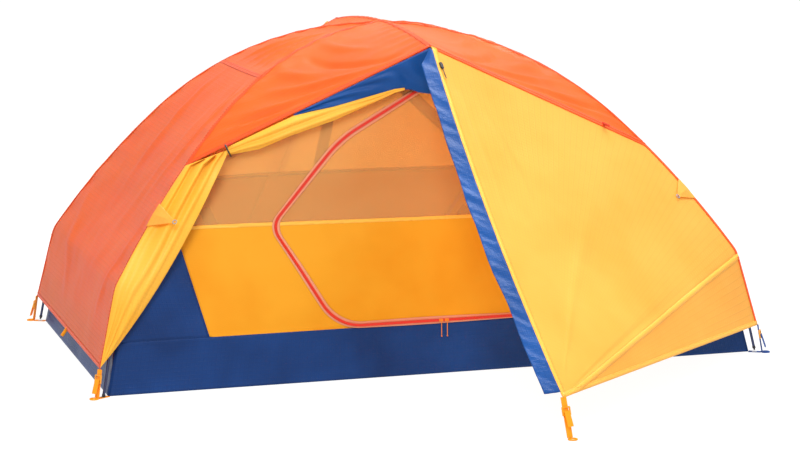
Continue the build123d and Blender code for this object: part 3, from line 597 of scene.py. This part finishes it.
def flyRoof(sideX, sideY):
    name = endName(sideY > 0) + "_" + sideName(sideX)
    out = Vector((0, sideY * 0.3, 1))
    leg = [browCurve(sideY)[0]] + polePoints(3, tent["seamAngle"], tent["flyGap"], sideX, sideY)
    grid = shaped(loft(leg, browCurve(sideY), 80, 60), out, flyLook["roof"], 11.0 + sideX + 2 * sideY)
    panel(f"fly_roof_{name}_sheet", grid, "flyOrange", out, "fly_orange", ["fly_roof_" + name])
    sewSeams(grid, out, first="ridge", last="ridge", bottom="roofHem")


def bandObject(name, bands, material, body, slot):
    piece = gridsObject(name, bands, material, upwards)
    width = sum((row[2] - row[1]).length + (row[1] - row[0]).length for band in bands for row in band)
    width /= sum(len(band) for band in bands)
    return cloth(piece, body, slot, thickness=0.0008, flat=(sheetArea(piece) / width, width))


for side in (-1, 1):
    flyEnd(side)
    for front in (-1, 1):
        flyRoof(side, front)
bandObject("fly_seams", seams["orange"], cloths["seamOrange"], "root", "fly_orange")
barsAlong("fly_stitches", seams["stitches"], stitch["spacing"], stitch["bar"], hard["threadRust"], "root")
print("fly roof made")

# vestibule halves: cloth pulled from the roof seam and the pole leg to the hem corner
vestibuleLook = {"rows": 110, "cols": 80, "bow": Vector((-0.020, 0.004, 0)), "bowRows": 30, "blendHalf": 0.05,
                 "zipBand": 0.022, "hemBand": 0.016, "foldBand": 0.020, "poleBand": 0.012,
                 "sag": 0.014, "slack": 0.005, "grain": 2.6,
                 "creases": [(0.03, 0.99, 0.10, 0.45, 0.012, 0.005), (0.05, 0.97, 0.24, 0.55, 0.012, 0.004),
                             (0.40, 0.08, 0.46, 0.95, 0.030, 0.003), (0.80, 0.05, 0.84, 0.90, 0.020, -0.004)]}


def vestibuleEdge(sideX):
    leg = flyLeg(tent["seamAngle"], sideX, -1)
    seam = [browTip.lerp(leg[0], k / 12) for k in range(12)]
    return seam + leg


def zipBow(share, back):
    # the open side's zip edge swells a little between its ends; the closed back is straight
    return vestibuleLook["bow"] * (0 if back else 4 * share * (1 - share))


def foldLine(foot):
    # the line from the brow tip to a half's foot: its middle, and the way from it to the hem corner
    run = (foot - browTip).normalized()
    inward = tent["hemCorner"] - browTip
    inward = (inward - run * run.dot(inward)).normalized()
    return browTip.lerp(foot, 0.5), inward


def vestibule(name, sideX, back, replaced):
    out = Vector((sideX * 0.4, -0.8, 0.6))
    rows, cols = vestibuleLook["rows"], vestibuleLook["cols"]
    edge = resample(vestibuleEdge(sideX), rows)
    hem = [tent["hemCorner"].lerp(p, 0.004) for p in edge]
    grid = loft(hem, edge, rows, cols)
    for i, row in enumerate(grid):
        fade = max(0.0, 1 - i / vestibuleLook["bowRows"]) ** 2
        for j in range(cols):
            row[j] = row[j] + zipBow(j / (cols - 1), back) * fade * sideX
    grid = shaped(grid, out, vestibuleLook, 21.0 + sideX)
    kink = onDiagonal(kinkRz(tent["flyGap"]), sideX, -1)
    bend = min(range(rows), key=lambda i: (edge[i] - kink).length)
    middle, inward = foldLine(vestibuleEdge(sideX)[-1])
    start, end = (middle + inward * vestibuleLook["blendHalf"] * way for way in (-1, 1))
    if back:
        grid = turnedGrid(grid)
        out, start, end = backTurn([out, start, end])
    piece = panel(name, grid, "flyYellow", out, "vestibule_yellow", replaced, None)
    sewn = [edgeBand(part, edgeName, vestibuleLook[width], seamWidth["lift"], out)
            for part, edgeName, width in ((grid, "top", "zipBand"), (grid, "bottom", "hemBand"),
                                          (grid[bend:], "top", "foldBand"), (grid, "last", "poleBand"))]
    lines = [[row[0].lerp(row[2], stitch["rows"][1]) for row in band] for band in sewn[:3]]
    parts = [piece, bandObject(name + "_bands", sewn[:3], cloths["bandYellow"], None, "vestibule_yellow"),
             bandObject(name + "_binding", sewn[3:], cloths["seamOrange"], None, "fly_orange"),
             barsAlong(name + "_stitches", lines, stitch["spacing"], stitch["bar"], hard["threadGold"], None)]
    for part in parts:
        tuple(start)
        tuple(end)
        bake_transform(part)


vestibule("front_vestibule_sheet", 1, False,
          ["front_vestibule_side", "front_vestibule_door"])
vestibule("back_left_vestibule_sheet", 1, True, ["back_vestibule_sides", "back_left_door"])
vestibule("back_right_vestibule_sheet", -1, True, ["back_right_door"])
print("vestibules made")

# storm flap along the vestibule zip: a limp strip with diagonal wrinkles
flapStrip = {"width": 0.058, "rows": 160, "cols": 14, "wrinkle": 0.0052, "from": 0.012, "to": 0.985,
             "besideZip": 0.018, "clear": 0.0025, "curl": 0.010, "frontHang": Vector((-0.9, 0.3, 0))}


def stormFlap(name, hang, body, back, replaced, look):
    zipRun = (tent["hemCorner"] - browTip).normalized()
    hang = (hang - zipRun * hang.dot(zipRun)).normalized()
    out = zipRun.cross(hang)
    out = out if out.y < 0 else -out

    def place(s, t):
        base = browTip.lerp(tent["hemCorner"], flapStrip["from"] + (flapStrip["to"] - flapStrip["from"]) * s)
        run = (base - browTip).length
        base = base + zipBow(s, back) + hang * (flapStrip["besideZip"] if back else 0)
        w = t * min(1.0, 0.15 + s / 0.05) * flapStrip["width"]
        w *= 0.86 + 0.14 * noise.noise(Vector((run * 5, 3.1, 0)))
        slant = run + 0.9 * w
        wave = noise.noise(Vector((slant * 26, run * 3, 1.7)))
        wave += 0.6 * noise.noise(Vector((slant * 52, w * 20, 5.1)))
        wave *= flapStrip["wrinkle"] * (0.45 + 0.55 * t)
        return base + hang * w + out * (flapStrip["clear"] + wave + flapStrip["curl"] * t * t)

    grid = gridOf(flapStrip["rows"], flapStrip["cols"], place)
    if back:
        grid, out = turnedGrid(grid), *backTurn([out])
    panel(name, grid, look, out, "flap_blue", replaced, body=body)


ownSide = vestibuleEdge(1)[12] - browTip
stormFlap("front_storm_flap_sheet", flapStrip["frontHang"], "front_vestibule_door", False, ["front_storm_flap"],
          "flapBlue")
stormFlap("back_storm_flap_sheet", ownSide, "back_left_door", True, (), "flyYellow")


# inner tent edges, one pole leg at a time: floor corner, tub top, bend, then up the pole
def innerLeg(sideX, sideY, topAngle):
    offset = -tent["clipDrop"]
    foot = Vector((sideX * halfLength, sideY * halfWidth, tent["cloth"]))
    kink = onDiagonal(kinkRz(offset), sideX, sideY)
    up = polePoints(tent["shoulderAngle"] - 0.5, topAngle, offset, sideX, sideY)
    return [foot] + rounded([foot.lerp(kink, 0.75), kink, up[0].lerp(up[1], 0.5)])[:-1] + up


def betweenHeights(points, low, high):
    out = []
    for a, b in zip(points, points[1:]):
        if b.z <= a.z:
            continue
        for z in (low, high):
            if a.z < z < b.z:
                out.append(a.lerp(b, (z - a.z) / (b.z - a.z)))
        if low <= b.z <= high:
            out.append(b)
    if low <= points[0].z:
        out.append(points[0])
    return sorted(out, key=lambda p: p.z)


innerLook = {"sag": 0.010, "slack": 0.005, "grain": 3.5, "pucker": 0.002, "puckerStep": 0.9}
tubLook = {"sag": 0.004, "slack": 0.007, "grain": 5.0}
bands = {"tub": (0.0, tent["tubHeight"], "tubNavy", "tub_navy", "tub_ends"),
         "lower": (tent["tubHeight"], tent["wallHeight"], "wallAmber", "wall_amber", "lower_wall_ends"),
         "mesh": (tent["wallHeight"], 2.0, "mesh", "mesh", "mesh_ends")}
for side in (-1, 1):
    name = sideName(side)
    out = Vector((side, 0, 0.3))
    legs = [innerLeg(side, sideY, 4.0) for sideY in (-1, 1)]
    for band, (low, high, look, slot, node) in bands.items():
        edges = [betweenHeights(leg, low, high) for leg in legs]
        grid = shaped(loft(*edges, 50 if band == "mesh" else 24, 50), out, innerLook, 31 + side)
        panel(f"inner_{band}_{name}", grid, look, out, slot, [node] if side < 0 else ())

# front wall of the inner tent, with the D-shaped door; the back is the same, half a turn round
doorWay = {"footX": 0.420, "topShare": 0.05, "sill": 0.178, "cornerX": -0.345, "sideX": -0.540, "sideZ": 0.512,
           "shoulderX": -0.300, "shoulderZ": 0.790, "radii": (0.150, 0.060, 0.420)}
wallFootY = -halfWidth + tent["tubLean"]
seamFoot, gussetTop = ([onDiagonal(poleRz(tent[angle], -tent["clipDrop"]), sideX, -1) for sideX in (-1, 1)]
                       for angle in ("seamAngle", "gussetAngle"))
browInner = Vector((0, -tent["browReach"] + tent["clipDrop"], tent["browTop"] - tent["browDrop"] - 0.040))


def onTub(x):
    return Vector((x, wallFootY, tent["tubHeight"]))


def wallPoint(x, z):
    # the wall leans in from the tub's top edge to the seam under the brow
    side = 0 if x < 0 else 1
    share = min(1.0, abs(x) / abs(seamFoot[side].x))
    top = browInner.lerp(seamFoot[side], share)
    rise = max(0.0, min(1.0, (z - tent["tubHeight"]) / (top.z - tent["tubHeight"])))
    return Vector((x, wallFootY + (top.y - wallFootY) * rise, z))


def filletLine(corners, radii, steps=10):
    # straight runs joined by tangent arcs
    points = [corners[0]]
    for a, b, c, radius in zip(corners, corners[1:], corners[2:], radii):
        inDir, outDir = (b - a).normalized(), (c - b).normalized()
        turn = inDir.angle(outDir)
        back = radius * abs(sin(turn / 2) / cos(turn / 2))
        start, end = b - inDir * back, b + outDir * back
        centre = b + (outDir - inDir).normalized() * (radius / cos(turn / 2))
        for k in range(steps + 1):
            ray = (start - centre).lerp(end - centre, k / steps)
            points.append(centre + ray.normalized() * radius)
    return points + [corners[-1]]


hingeFoot = onTub(doorWay["footX"])
hingeTop = browInner.lerp(seamFoot[1], doorWay["topShare"])


def onHinge(z):
    return hingeFoot.lerp(hingeTop, (z - hingeFoot.z) / (hingeTop.z - hingeFoot.z))


zipTopZ = hingeTop.z - 0.0264
corners2d = [Vector((onHinge(doorWay["sill"]).x, doorWay["sill"])), Vector((doorWay["cornerX"], doorWay["sill"])),
             Vector((doorWay["sideX"], doorWay["sideZ"])), Vector((doorWay["shoulderX"], doorWay["shoulderZ"])),
             Vector((onHinge(zipTopZ).x, zipTopZ))]
zipPath = [wallPoint(p.x, p.y) for p in filletLine(corners2d, doorWay["radii"])]
zipTapeTree = BVHTree.FromPolygons([v.co for v in nodes["front_door_zip"].data.vertices],
                                   [p.vertices for p in nodes["front_door_zip"].data.polygons])


def onZipTape(p):
    # the same place on the front of the zip's tape
    hit = zipTapeTree.ray_cast(Vector((p.x, -3, p.z)), Vector((0, 1, 0)))[0]
    return hit or p


zipDense = [onZipTape(p) for p in resample(zipPath, 240)]
hingeEdge = [onHinge(doorWay["sill"]).lerp(onHinge(zipTopZ), k / 20) for k in range(21)]


def inset(path, distance):
    # moves the zip line towards the door's middle
    middle = wallPoint(-0.05, 0.50)
    return [p + (middle - p).normalized() * distance for p in path]


wallLook = {"sag": 0.004, "slack": 0.004, "grain": 3.0}
# the felled seam where the cloth wall meets the mesh
wallSeam = {"lift": 0.0012, "above": 0.004, "below": 0.008, "wide": 0.012, "thick": 0.0006}


def wallEdge(sideX, sill, seamEnd):
    # along the tub's top from the hinge, up the gusset and the pole, then in along the seam
    number = max(sideX, 0)
    edge = [onTub(x) for x in (doorWay["footX"], *sill, sideX * tent["gussetFoot"])]
    edge += [edge[-1].lerp(gussetTop[number], k / 8) for k in range(1, 9)]
    edge += polePoints(tent["gussetAngle"], tent["seamAngle"], -tent["clipDrop"], sideX, -1, 6)[1:]
    return edge + [seamFoot[number].lerp(seamEnd, k / 10) for k in range(1, 11)]


def frontSheets(back):
    where = endName(back)
    out = Vector((0, 1 if back else -1, 0.2))
    left, right = wallEdge(-1, (0.1, -0.3), browInner) + [hingeTop], wallEdge(1, (), hingeTop)
    zipEdge = [hingeFoot] + zipDense + [hingeTop]
    plain = {"wall": loft(zipEdge, left, 170, 40), "side": loft([hingeFoot, hingeTop], right, 100, 24),
             "door": loft(hingeEdge, inset(zipDense, 0.008), 130, 60)}
    for part, grid in plain.items():
        grid = faced(shaped(grid, Vector((0, -1, 0.2)), wallLook, 41.0), back)
        rider = where + "_inner_door" if part == "door" else "root"
        for below in (True, False):
            kind, look, slot = ("cloth", "wallAmber", "wall_amber") if below else ("mesh", "mesh", "mesh")
            piece = gridsObject(f"inner_{where}_{part}_{kind}", [grid], cloths[look], out)
            trimmed(piece, tent["wallHeight"], below)
            if below:
                lifted = [[p + out * wallSeam["lift"] for p in row] for row in grid]
                seam = gridsObject(f"inner_{where}_{part}_seam", [lifted], cloths["bandYellow"], out)
                trimmed(seam, tent["wallHeight"] + wallSeam["above"], True)
                trimmed(seam, tent["wallHeight"] - wallSeam["below"], False)
                cloth(seam, rider, "wall_amber", thickness=wallSeam["thick"],
                      flat=(sheetArea(seam) / wallSeam["wide"], wallSeam["wide"]))
            stands = {"wall": ("lower_wall_" if below else "mesh_") + where,
                      "door": where + "_door_" + kind}.get(part)
            cloth(piece, rider, slot, [stands] if stands else ())


def tubAndGussets(back):
    where = endName(back)
    out = Vector((0, -1, 0.1))
    seen = -out if back else out
    low = [Vector((x * halfLength, -halfWidth, tent["cloth"])) for x in (-1, 1)]
    legs = [innerLeg(sideX, -1, tent["gussetAngle"]) for sideX in (-1, 1)]
    tops = [betweenHeights(leg, 0.0, tent["tubHeight"])[-1] for leg in legs]
    top = [tops[0], *(onTub(x) for x in (-tent["gussetFoot"], 0.0, tent["gussetFoot"])), tops[1]]
    grid = faced(shaped(loft(low, top, 150, 24), out, tubLook, 51.0), back)
    panel(f"tub_{where}_sheet", grid, "tubNavy", seen, "tub_navy", ["tub_" + where])
    for number, sideX in enumerate((-1, 1)):
        foot = onTub(sideX * tent["gussetFoot"])
        edge = betweenHeights(legs[number], tent["tubHeight"], 2.0)
        grid = faced(shaped(loft([foot, gussetTop[number]], edge, 40, 20), out, tubLook, 57.0 + sideX), back)
        panel(f"gusset_{where}_{sideName(sideX)}", grid, "tubNavy", seen, "tub_navy",
              ["corner_gussets"] if not back and sideX < 0 else ())


def innerRoof(back):
    where = endName(back)
    peak = Vector((0, 0, tent["polePeak"] - tent["clipDrop"]))
    for sideX in (-1, 1):
        pole = polePoints(3, tent["seamAngle"], -tent["clipDrop"], sideX, -1)
        grid = shaped(loft([peak] + pole, [peak, browInner], 40, 30), upwards, innerLook, 61.0 + sideX)
        panel(f"inner_roof_{where}_{sideName(sideX)}", faced(grid, back), "mesh", upwards, "mesh",
              ["roof_mesh_" + where] if sideX < 0 else ())


# dark red-brown bands inside the back wall and its door: x and height of both ends, half width
backTapes = {
    "root": ((-0.53, 0.41, -0.49, 0.33, 0.022), (0.50, 0.36, 0.46, 0.30, 0.022),
             (-0.70, tent["wallHeight"], -0.28, tent["wallHeight"], 0.005),
             (0.56, tent["wallHeight"], 0.70, tent["wallHeight"], 0.005)),
    "back_inner_door": ((-0.03, 0.79, -0.08, 0.55, 0.022), (0.24, 0.83, 0.49, 0.59, 0.022),
                        (0.26, 0.85, 0.12, 0.80, 0.022),
                        (-0.24, tent["wallHeight"], 0.51, tent["wallHeight"], 0.005)),
}
seamTape = {"half": 0.008, "clear": 0.006, "clearBack": 0.022, "drop": 0.002}


def innerBindings(back):
    # tapes sewn over the inner tent's seams, and the dark bands inside the back, seen through the mesh
    where = endName(back)
    lines = [[browInner.lerp(foot, k / 30) for k in range(31)] for foot in seamFoot]
    for sideX in (-1, 1):
        lines.append(polePoints(tent["gussetAngle"], 6.0, -tent["clipDrop"] - 0.003, sideX, -1, 50))
    tapes = {"root": [(line, seamTape["half"]) for line in lines]}
    for rider, ends in backTapes.items() if back else ():
        for x0, z0, x1, z1, half in ends:
            line = [wallPoint(-(x0 + (x1 - x0) * k / 20), z0 + (z1 - z0) * k / 20) for k in range(21)]
            tapes.setdefault(rider, []).append((line, half))
    inward = Vector((0, seamTape["clearBack" if back else "clear"], -seamTape["drop"]))
    for rider, sewn in tapes.items():
        bands = []
        for line, half in sewn:
            band = []
            for k, p in enumerate(line):
                run = (line[min(k + 1, len(line) - 1)] - line[max(k - 1, 0)]).normalized()
                wide = run.cross(Vector((0, -1, 0.4))).normalized() * half
                band.append([p + inward - wide, p + inward, p + inward + wide])
            bands.append(faced(band, back))
        name = "inner" if rider == "root" else "door"
        bandObject(f"{name}_bindings_{where}", bands, cloths["tapeBrown"], rider, "webbing_yellow")


# the tape's two halves, one sewn to the wall and one to the door: where each starts and ends across the zip
zipTape = {"wall": (0.0, -0.011), "door": (0.003, 0.014), "lift": Vector((0, -0.0022, 0))}
coil = {"lift": Vector((0, -0.0040, 0)), "pitch": 0.0050, "tooth": (0.0044, 0.004, 0.0085)}


def zipTeeth(back):
    where = endName(back)
    for label, rider in (("wall", "root"), ("door", where + "_inner_door")):
        near, far = zipTape[label]
        edges = [inset(zipDense, distance) for distance in (near, (near + far) / 2, far)]
        half = [[p + zipTape["lift"] for p in row] for row in zip(*edges)]
        bandObject(f"{where}_zip_tape_{label}", [faced(half, back)], cloths["zipTape"], rider, "zip_red")
    line = [p + coil["lift"] for p in zipDense]
    barsAlong(where + "_zip_teeth", [backTurn(line) if back else line], coil["pitch"], coil["tooth"],
              hard["coilRed"], "root")


for behind in (False, True):
    frontSheets(behind)
    tubAndGussets(behind)
    innerRoof(behind)
    innerBindings(behind)
    zipTeeth(behind)
print("inner tent made")

# the open vestibule half: a fan of folds from the pole leg to the tie-back, then a roll along the roof seam
gather = {"rows": 120, "cols": 44, "tieShare": 0.17, "tieDrop": Vector((0.004, -0.014, -0.012)), "bow": 0.030,
          "pull": Vector((1, -0.25, -0.3)), "outward": Vector((0.10, -0.95, 0.22)), "swell": 0.030, "folds": 3.1,
          "rollRows": 110, "rollCols": 22, "rollFrom": 0.11, "rollFolds": 1.6, "puff": 0.28}
# width of the brow lining and of the roll, by the share of the way down the seam
liningWidth = ((0.0, 0.150), (0.05, 0.125), (0.08, 0.104), (0.11, 0.090), (0.15, 0.078), (0.27, 0.059),
               (0.40, 0.038), (0.50, 0.016), (0.56, 0.004), (1.0, 0.0))
rollWidth = ((0.0, 0.006), (0.10, 0.006), (0.20, 0.020), (0.40, 0.046), (0.55, 0.062), (0.70, 0.056),
             (0.83, 0.026))


def onTable(table, share):
    for (s0, w0), (s1, w1) in zip(table, table[1:]):
        if s0 <= share <= s1:
            return w0 + (w1 - w0) * (share - s0) / (s1 - s0)
    return table[-1][1]


def gatheredDoor():
    leg = flyLeg(tent["seamAngle"], -1, -1, 0.002)
    seamEnd = leg[0]
    tie = seamEnd.lerp(browTip, gather["tieShare"]) + gather["tieDrop"]
    foot = leg[-1].lerp(leg[-2], 0.03)
    poleEdge = resample(leg[:-1] + [foot], gather["rows"])[::-1]
    poleEdge = resample(poleEdge + [seamEnd.lerp(tie, 0.35)], gather["rows"])

    def fan(s, t):
        free = foot.lerp(tie, s) + gather["pull"] * gather["bow"] * 4 * s * (1 - s) * (1.15 - 0.4 * s)
        phase = 2 * pi * (gather["folds"] * t + 0.35 * noise.noise(Vector((s * 3, t * 2, 4.0))))
        depth = (0.004 + 0.013 * s ** 2.2) * min(1.0, 8 * s) * sin(pi * min(1.0, t * 1.15 + 0.05)) ** 0.6
        swell = gather["swell"] * sin(pi * t) * sin(pi * min(1.0, s * 1.05)) * (1 - 0.5 * s)
        p = poleEdge[round(s * (gather["rows"] - 1))].lerp(free, t)
        return p + gather["outward"] * (0.003 + swell + depth * (0.8 + sin(phase)))

    def rolled(s, t):
        share = gather["rollFrom"] + (1 - gather["tieShare"] - gather["rollFrom"]) * s
        top = browTip.lerp(seamEnd, share) + Vector((0, -0.002, -0.004 - onTable(liningWidth, share)))
        width = onTable(rollWidth, share)
        phase = 2 * pi * (gather["rollFolds"] * t + 0.3 * noise.noise(Vector((s * 4, t, 9.0))))
        puff = gather["puff"] * width * sin(pi * t) * (0.8 + 0.5 * sin(phase))
        return top + Vector((0.0, -0.003 - puff, -width * t))

    panel("front_gathered_sheet", gridOf(gather["rows"], gather["cols"], fan), "shadedGatherYellow",
          Vector((0.2, -1, 0.3)), "vestibule_yellow", ["front_gathered_door"])
    panel("front_gathered_roll", gridOf(gather["rollRows"], gather["rollCols"], rolled), "shadedGatherYellow",
          Vector((0, -1, 0.2)), "vestibule_yellow")


liningLook = {"rows": 80, "cols": 16, "from": 0.004, "reach": 0.555, "wave": 0.005, "hem": 0.006}


def browLining():
    leg = polePoints(tent["seamAngle"], tent["seamAngle"], tent["flyGap"], -1, -1, 2)[0]

    def place(s, t):
        share = liningLook["from"] + liningLook["reach"] * s
        ripple = sin(34 * share + 9 * t + 5 * noise.noise(Vector((share * 5, t, 2.0))))
        wave = liningLook["wave"] * sin(pi * t) * ripple
        drop = (onTable(liningWidth, share) + liningLook["hem"]) * t
        return browTip.lerp(leg, share) + Vector((0, 0, -0.003)) + Vector((0, -0.001 + wave, -drop))

    panel("front_brow_lining_sheet", gridOf(liningLook["rows"], liningLook["cols"], place), "flapBlue",
          Vector((0, -1, 0)), "flap_blue", ["front_brow_lining"])


# cord of the tie-back round the gathered cloth
tieCord = {"drop": Vector((0, -0.014, -0.014)), "radius": 0.021, "thick": 0.0026}


def tieLoop():
    leg = flyLeg(tent["seamAngle"], -1, -1)
    run = (browTip - leg[0]).normalized()
    centre = leg[0].lerp(browTip, gather["tieShare"]) + tieCord["drop"]
    cordRing("tie_back_cord", centre, run, tieCord["radius"], tieCord["thick"], hard["acetalBlack"], "root")


gatheredDoor()
browLining()
tieLoop()
print("open vestibule half made")

# guy-out flaps: a doubled triangle of cloth on the pole seam, creased down its middle, with a cord loop at its tip
guy = {"angle": 48.0, "base": 0.090, "length": 0.080, "tip": 0.012, "bore": 0.010, "cord": 0.0016, "crease": 0.006,
       "clear": 0.0005, "overGather": 0.0124}


def guyFlap(name, sideX, clear, back):
    edge = vestibuleEdge(sideX)
    seamEnd, kink = edge[12], onDiagonal(kinkRz(tent["flyGap"]), sideX, -1)
    normal = (seamEnd - tent["hemCorner"]).cross(kink - tent["hemCorner"]).normalized()
    normal = normal if normal.y < 0 else -normal
    run = (kink - seamEnd).normalized()
    reach = normal.cross(run)
    reach = reach if reach.y < 0 else -reach
    base = onDiagonal(poleRz(guy["angle"], tent["flyGap"]), sideX, -1) + normal * (clear + 0.0022) + reach * 0.003

    def place(t, share):
        half = (guy["base"] * (1 - t) + guy["tip"] * t) / 2
        spread = 2 * share - 1
        fold = guy["crease"] * (1 - abs(spread)) * sin(pi * min(1.0, t + 0.12))
        return base + reach * guy["length"] * t + run * half * spread + normal * fold

    grid = gridOf(21, 21, place)
    centre = base + reach * (guy["length"] + guy["bore"] / 2 + 0.002)
    if back:
        grid = turnedGrid(grid)
        normal, centre = backTurn([normal, centre])
    panel(name + "_sheet", grid, "flyYellow", normal, "vestibule_yellow", [name], name)
    cordRing(name + "_loop", centre, normal, guy["bore"] / 2 + guy["cord"], guy["cord"], hard["cordGrey"], name)


# the front left flap lies over the gathered cloth, the others on the vestibule
guyFlap("guy_flap_front_left", -1, guy["overGather"], False)
guyFlap("guy_flap_front_right", 1, guy["clear"], False)
guyFlap("guy_flap_back_left", 1, guy["clear"], True)
guyFlap("guy_flap_back_right", -1, guy["clear"], True)

# floor: one flat coated sheet
corners = [Vector((x * halfLength, y * halfWidth, tent["cloth"] / 2)) for y in (-1, 1) for x in (-1, 1)]
panel("floor_sheet", loft(corners[:2], corners[2:], 80, 50), "tubNavy", upwards, "tub_navy", ["floor_panel"])
print("guy flaps and floor made")

# finishes of the CAD pieces that stay as they are
finishes = (
    (hard["poleTube"], ("main_pole_left_front", "main_pole_right_front", "brow_pole", "pole_ferrules")),
    (hard["acetalBlack"], ("pole_tips", "crown_clip", "pole_clips", "front_fly_slider", "back_fly_slider")),
    (hard["cordGrey"], ("shock_cords",)),
    (cloths["tapeBrown"], ("clip_tabs",)),
    (cloths["zipTape"], ("front_door_zip", "back_door_zip")),
    (hard["cordOrange"], ("front_zip_slider_left", "front_zip_slider_right", "back_zip_slider")),
    (cloths["webbingYellow"], ("corner_webbing", "front_stake_strap", "back_stake_strap", "corner_straps")),
    (hard["grommet"], ("corner_grommets",)),
    (hard["acetalAmber"], ("corner_buckles",)),
    (hard["cordRed"], ("tie_backs",)),
)
for finish, names in finishes:
    for name in names:
        nodes[name].data.materials.clear()
        nodes[name].data.materials.append(finish)

# right-hand straps are navy, left-hand ones yellow
for name in ("corner_straps", "corner_webbing"):
    mesh = nodes[name].data
    mesh.materials.append(cloths["webbingNavy"])
    for polygon in mesh.polygons:
        polygon.material_index = 1 if (nodes[name].matrix_world @ polygon.center).x > 0 else 0

# camera at the photograph's angle, from the floor's corners and the pole line
viewFrom = {"azimuth": -15.63, "elevation": 8.92, "roll": -0.68, "distance": 9.720,
            "target": Vector((0.062, -0.005, 0.387)), "focalPixels": 2720.0, "imageWidth": 800}
az, el, roll = (radians(viewFrom[k]) for k in ("azimuth", "elevation", "roll"))
backward = Vector((sin(az) * cos(el), -cos(az) * cos(el), sin(el)))
level = Vector((cos(az), sin(az), 0))
upward = backward.cross(level)
right = level * cos(roll) + upward * sin(roll)
top = upward * cos(roll) - level * sin(roll)
camera = bpy.data.objects.new("camera", bpy.data.cameras.new("camera"))
scene.collection.objects.link(camera)
camera.data.sensor_width = 36.0
camera.data.lens = viewFrom["focalPixels"] / viewFrom["imageWidth"] * camera.data.sensor_width
turn = Matrix((right, top, backward)).transposed().to_4x4()
camera.matrix_world = Matrix.Translation(viewFrom["target"] + backward * viewFrom["distance"]) @ turn
camera.data.clip_end = 100.0
scene.camera = camera

# pale floor and even studio light
lamps = {"key": ((-3.0, -6.5, 6.0), 4.0, 440), "fill": ((6.0, -5.0, 4.0), 6.0, 140),
         "top": ((1.8, 1.0, 6.0), 4.0, 450)}
for name, (place, size, power) in lamps.items():
    lamp = bpy.data.objects.new(name + "_lamp", bpy.data.lights.new(name + "_lamp", "AREA"))
    lamp.data.shape, lamp.data.size, lamp.data.energy = "DISK", size, power
    lamp.location = place
    lamp.rotation_euler = (Vector((0, 0, 0.4)) - Vector(place)).to_track_quat("-Z", "Y").to_euler()
    scene.collection.objects.link(lamp)

world = bpy.data.worlds.new("studio")
scene.world = world
world.use_nodes = True
sky = world.node_tree
white = (1, 1, 1, 1)
lit = sky.nodes["Background"]
lit.inputs["Strength"].default_value, lit.inputs["Color"].default_value = 0.55, white
# full white where the camera, a reflection or a see-through piece looks past the ground
bare = addNode(sky, "ShaderNodeBackground", {"Strength": 1.0, "Color": white})
rays = addNode(sky, "ShaderNodeLightPath")
either = rays.outputs["Is Camera Ray"]
for ray in ("Is Glossy Ray", "Is Transmission Ray"):
    either = addNode(sky, "ShaderNodeMath", {"operation": "MAXIMUM"}, {0: either, 1: rays.outputs[ray]}).outputs[0]
choose = addNode(sky, "ShaderNodeMixShader", None, {0: either, 1: lit.outputs[0], 2: bare.outputs[0]})
sky.links.new(choose.outputs[0], sky.nodes["World Output"].inputs["Surface"])

pale = {"Base Color": hexColour("#FAFAFA"), "Roughness": 0.9}
floorMaterial, floorTree, floorShader = newMaterial("pale_floor", pale)
glow = addNode(floorTree, "ShaderNodeEmission", {"Strength": 1.1})
floorMix = addNode(floorTree, "ShaderNodeMixShader", {0: 0.86}, {1: floorShader.outputs[0], 2: glow.outputs[0]})
floorTree.links.new(floorMix.outputs[0], floorTree.nodes["Material Output"].inputs["Surface"])
groundReach = 30
groundCorners = [(x * groundReach, y * groundReach, 0) for x, y in ((-1, -1), (1, -1), (1, 1), (-1, 1))]
ground = meshObject("ground", groundCorners, [(0, 1, 2, 3)], floorMaterial, smooth=False)
scene.view_settings.view_transform = "Standard"

print("scene ready")
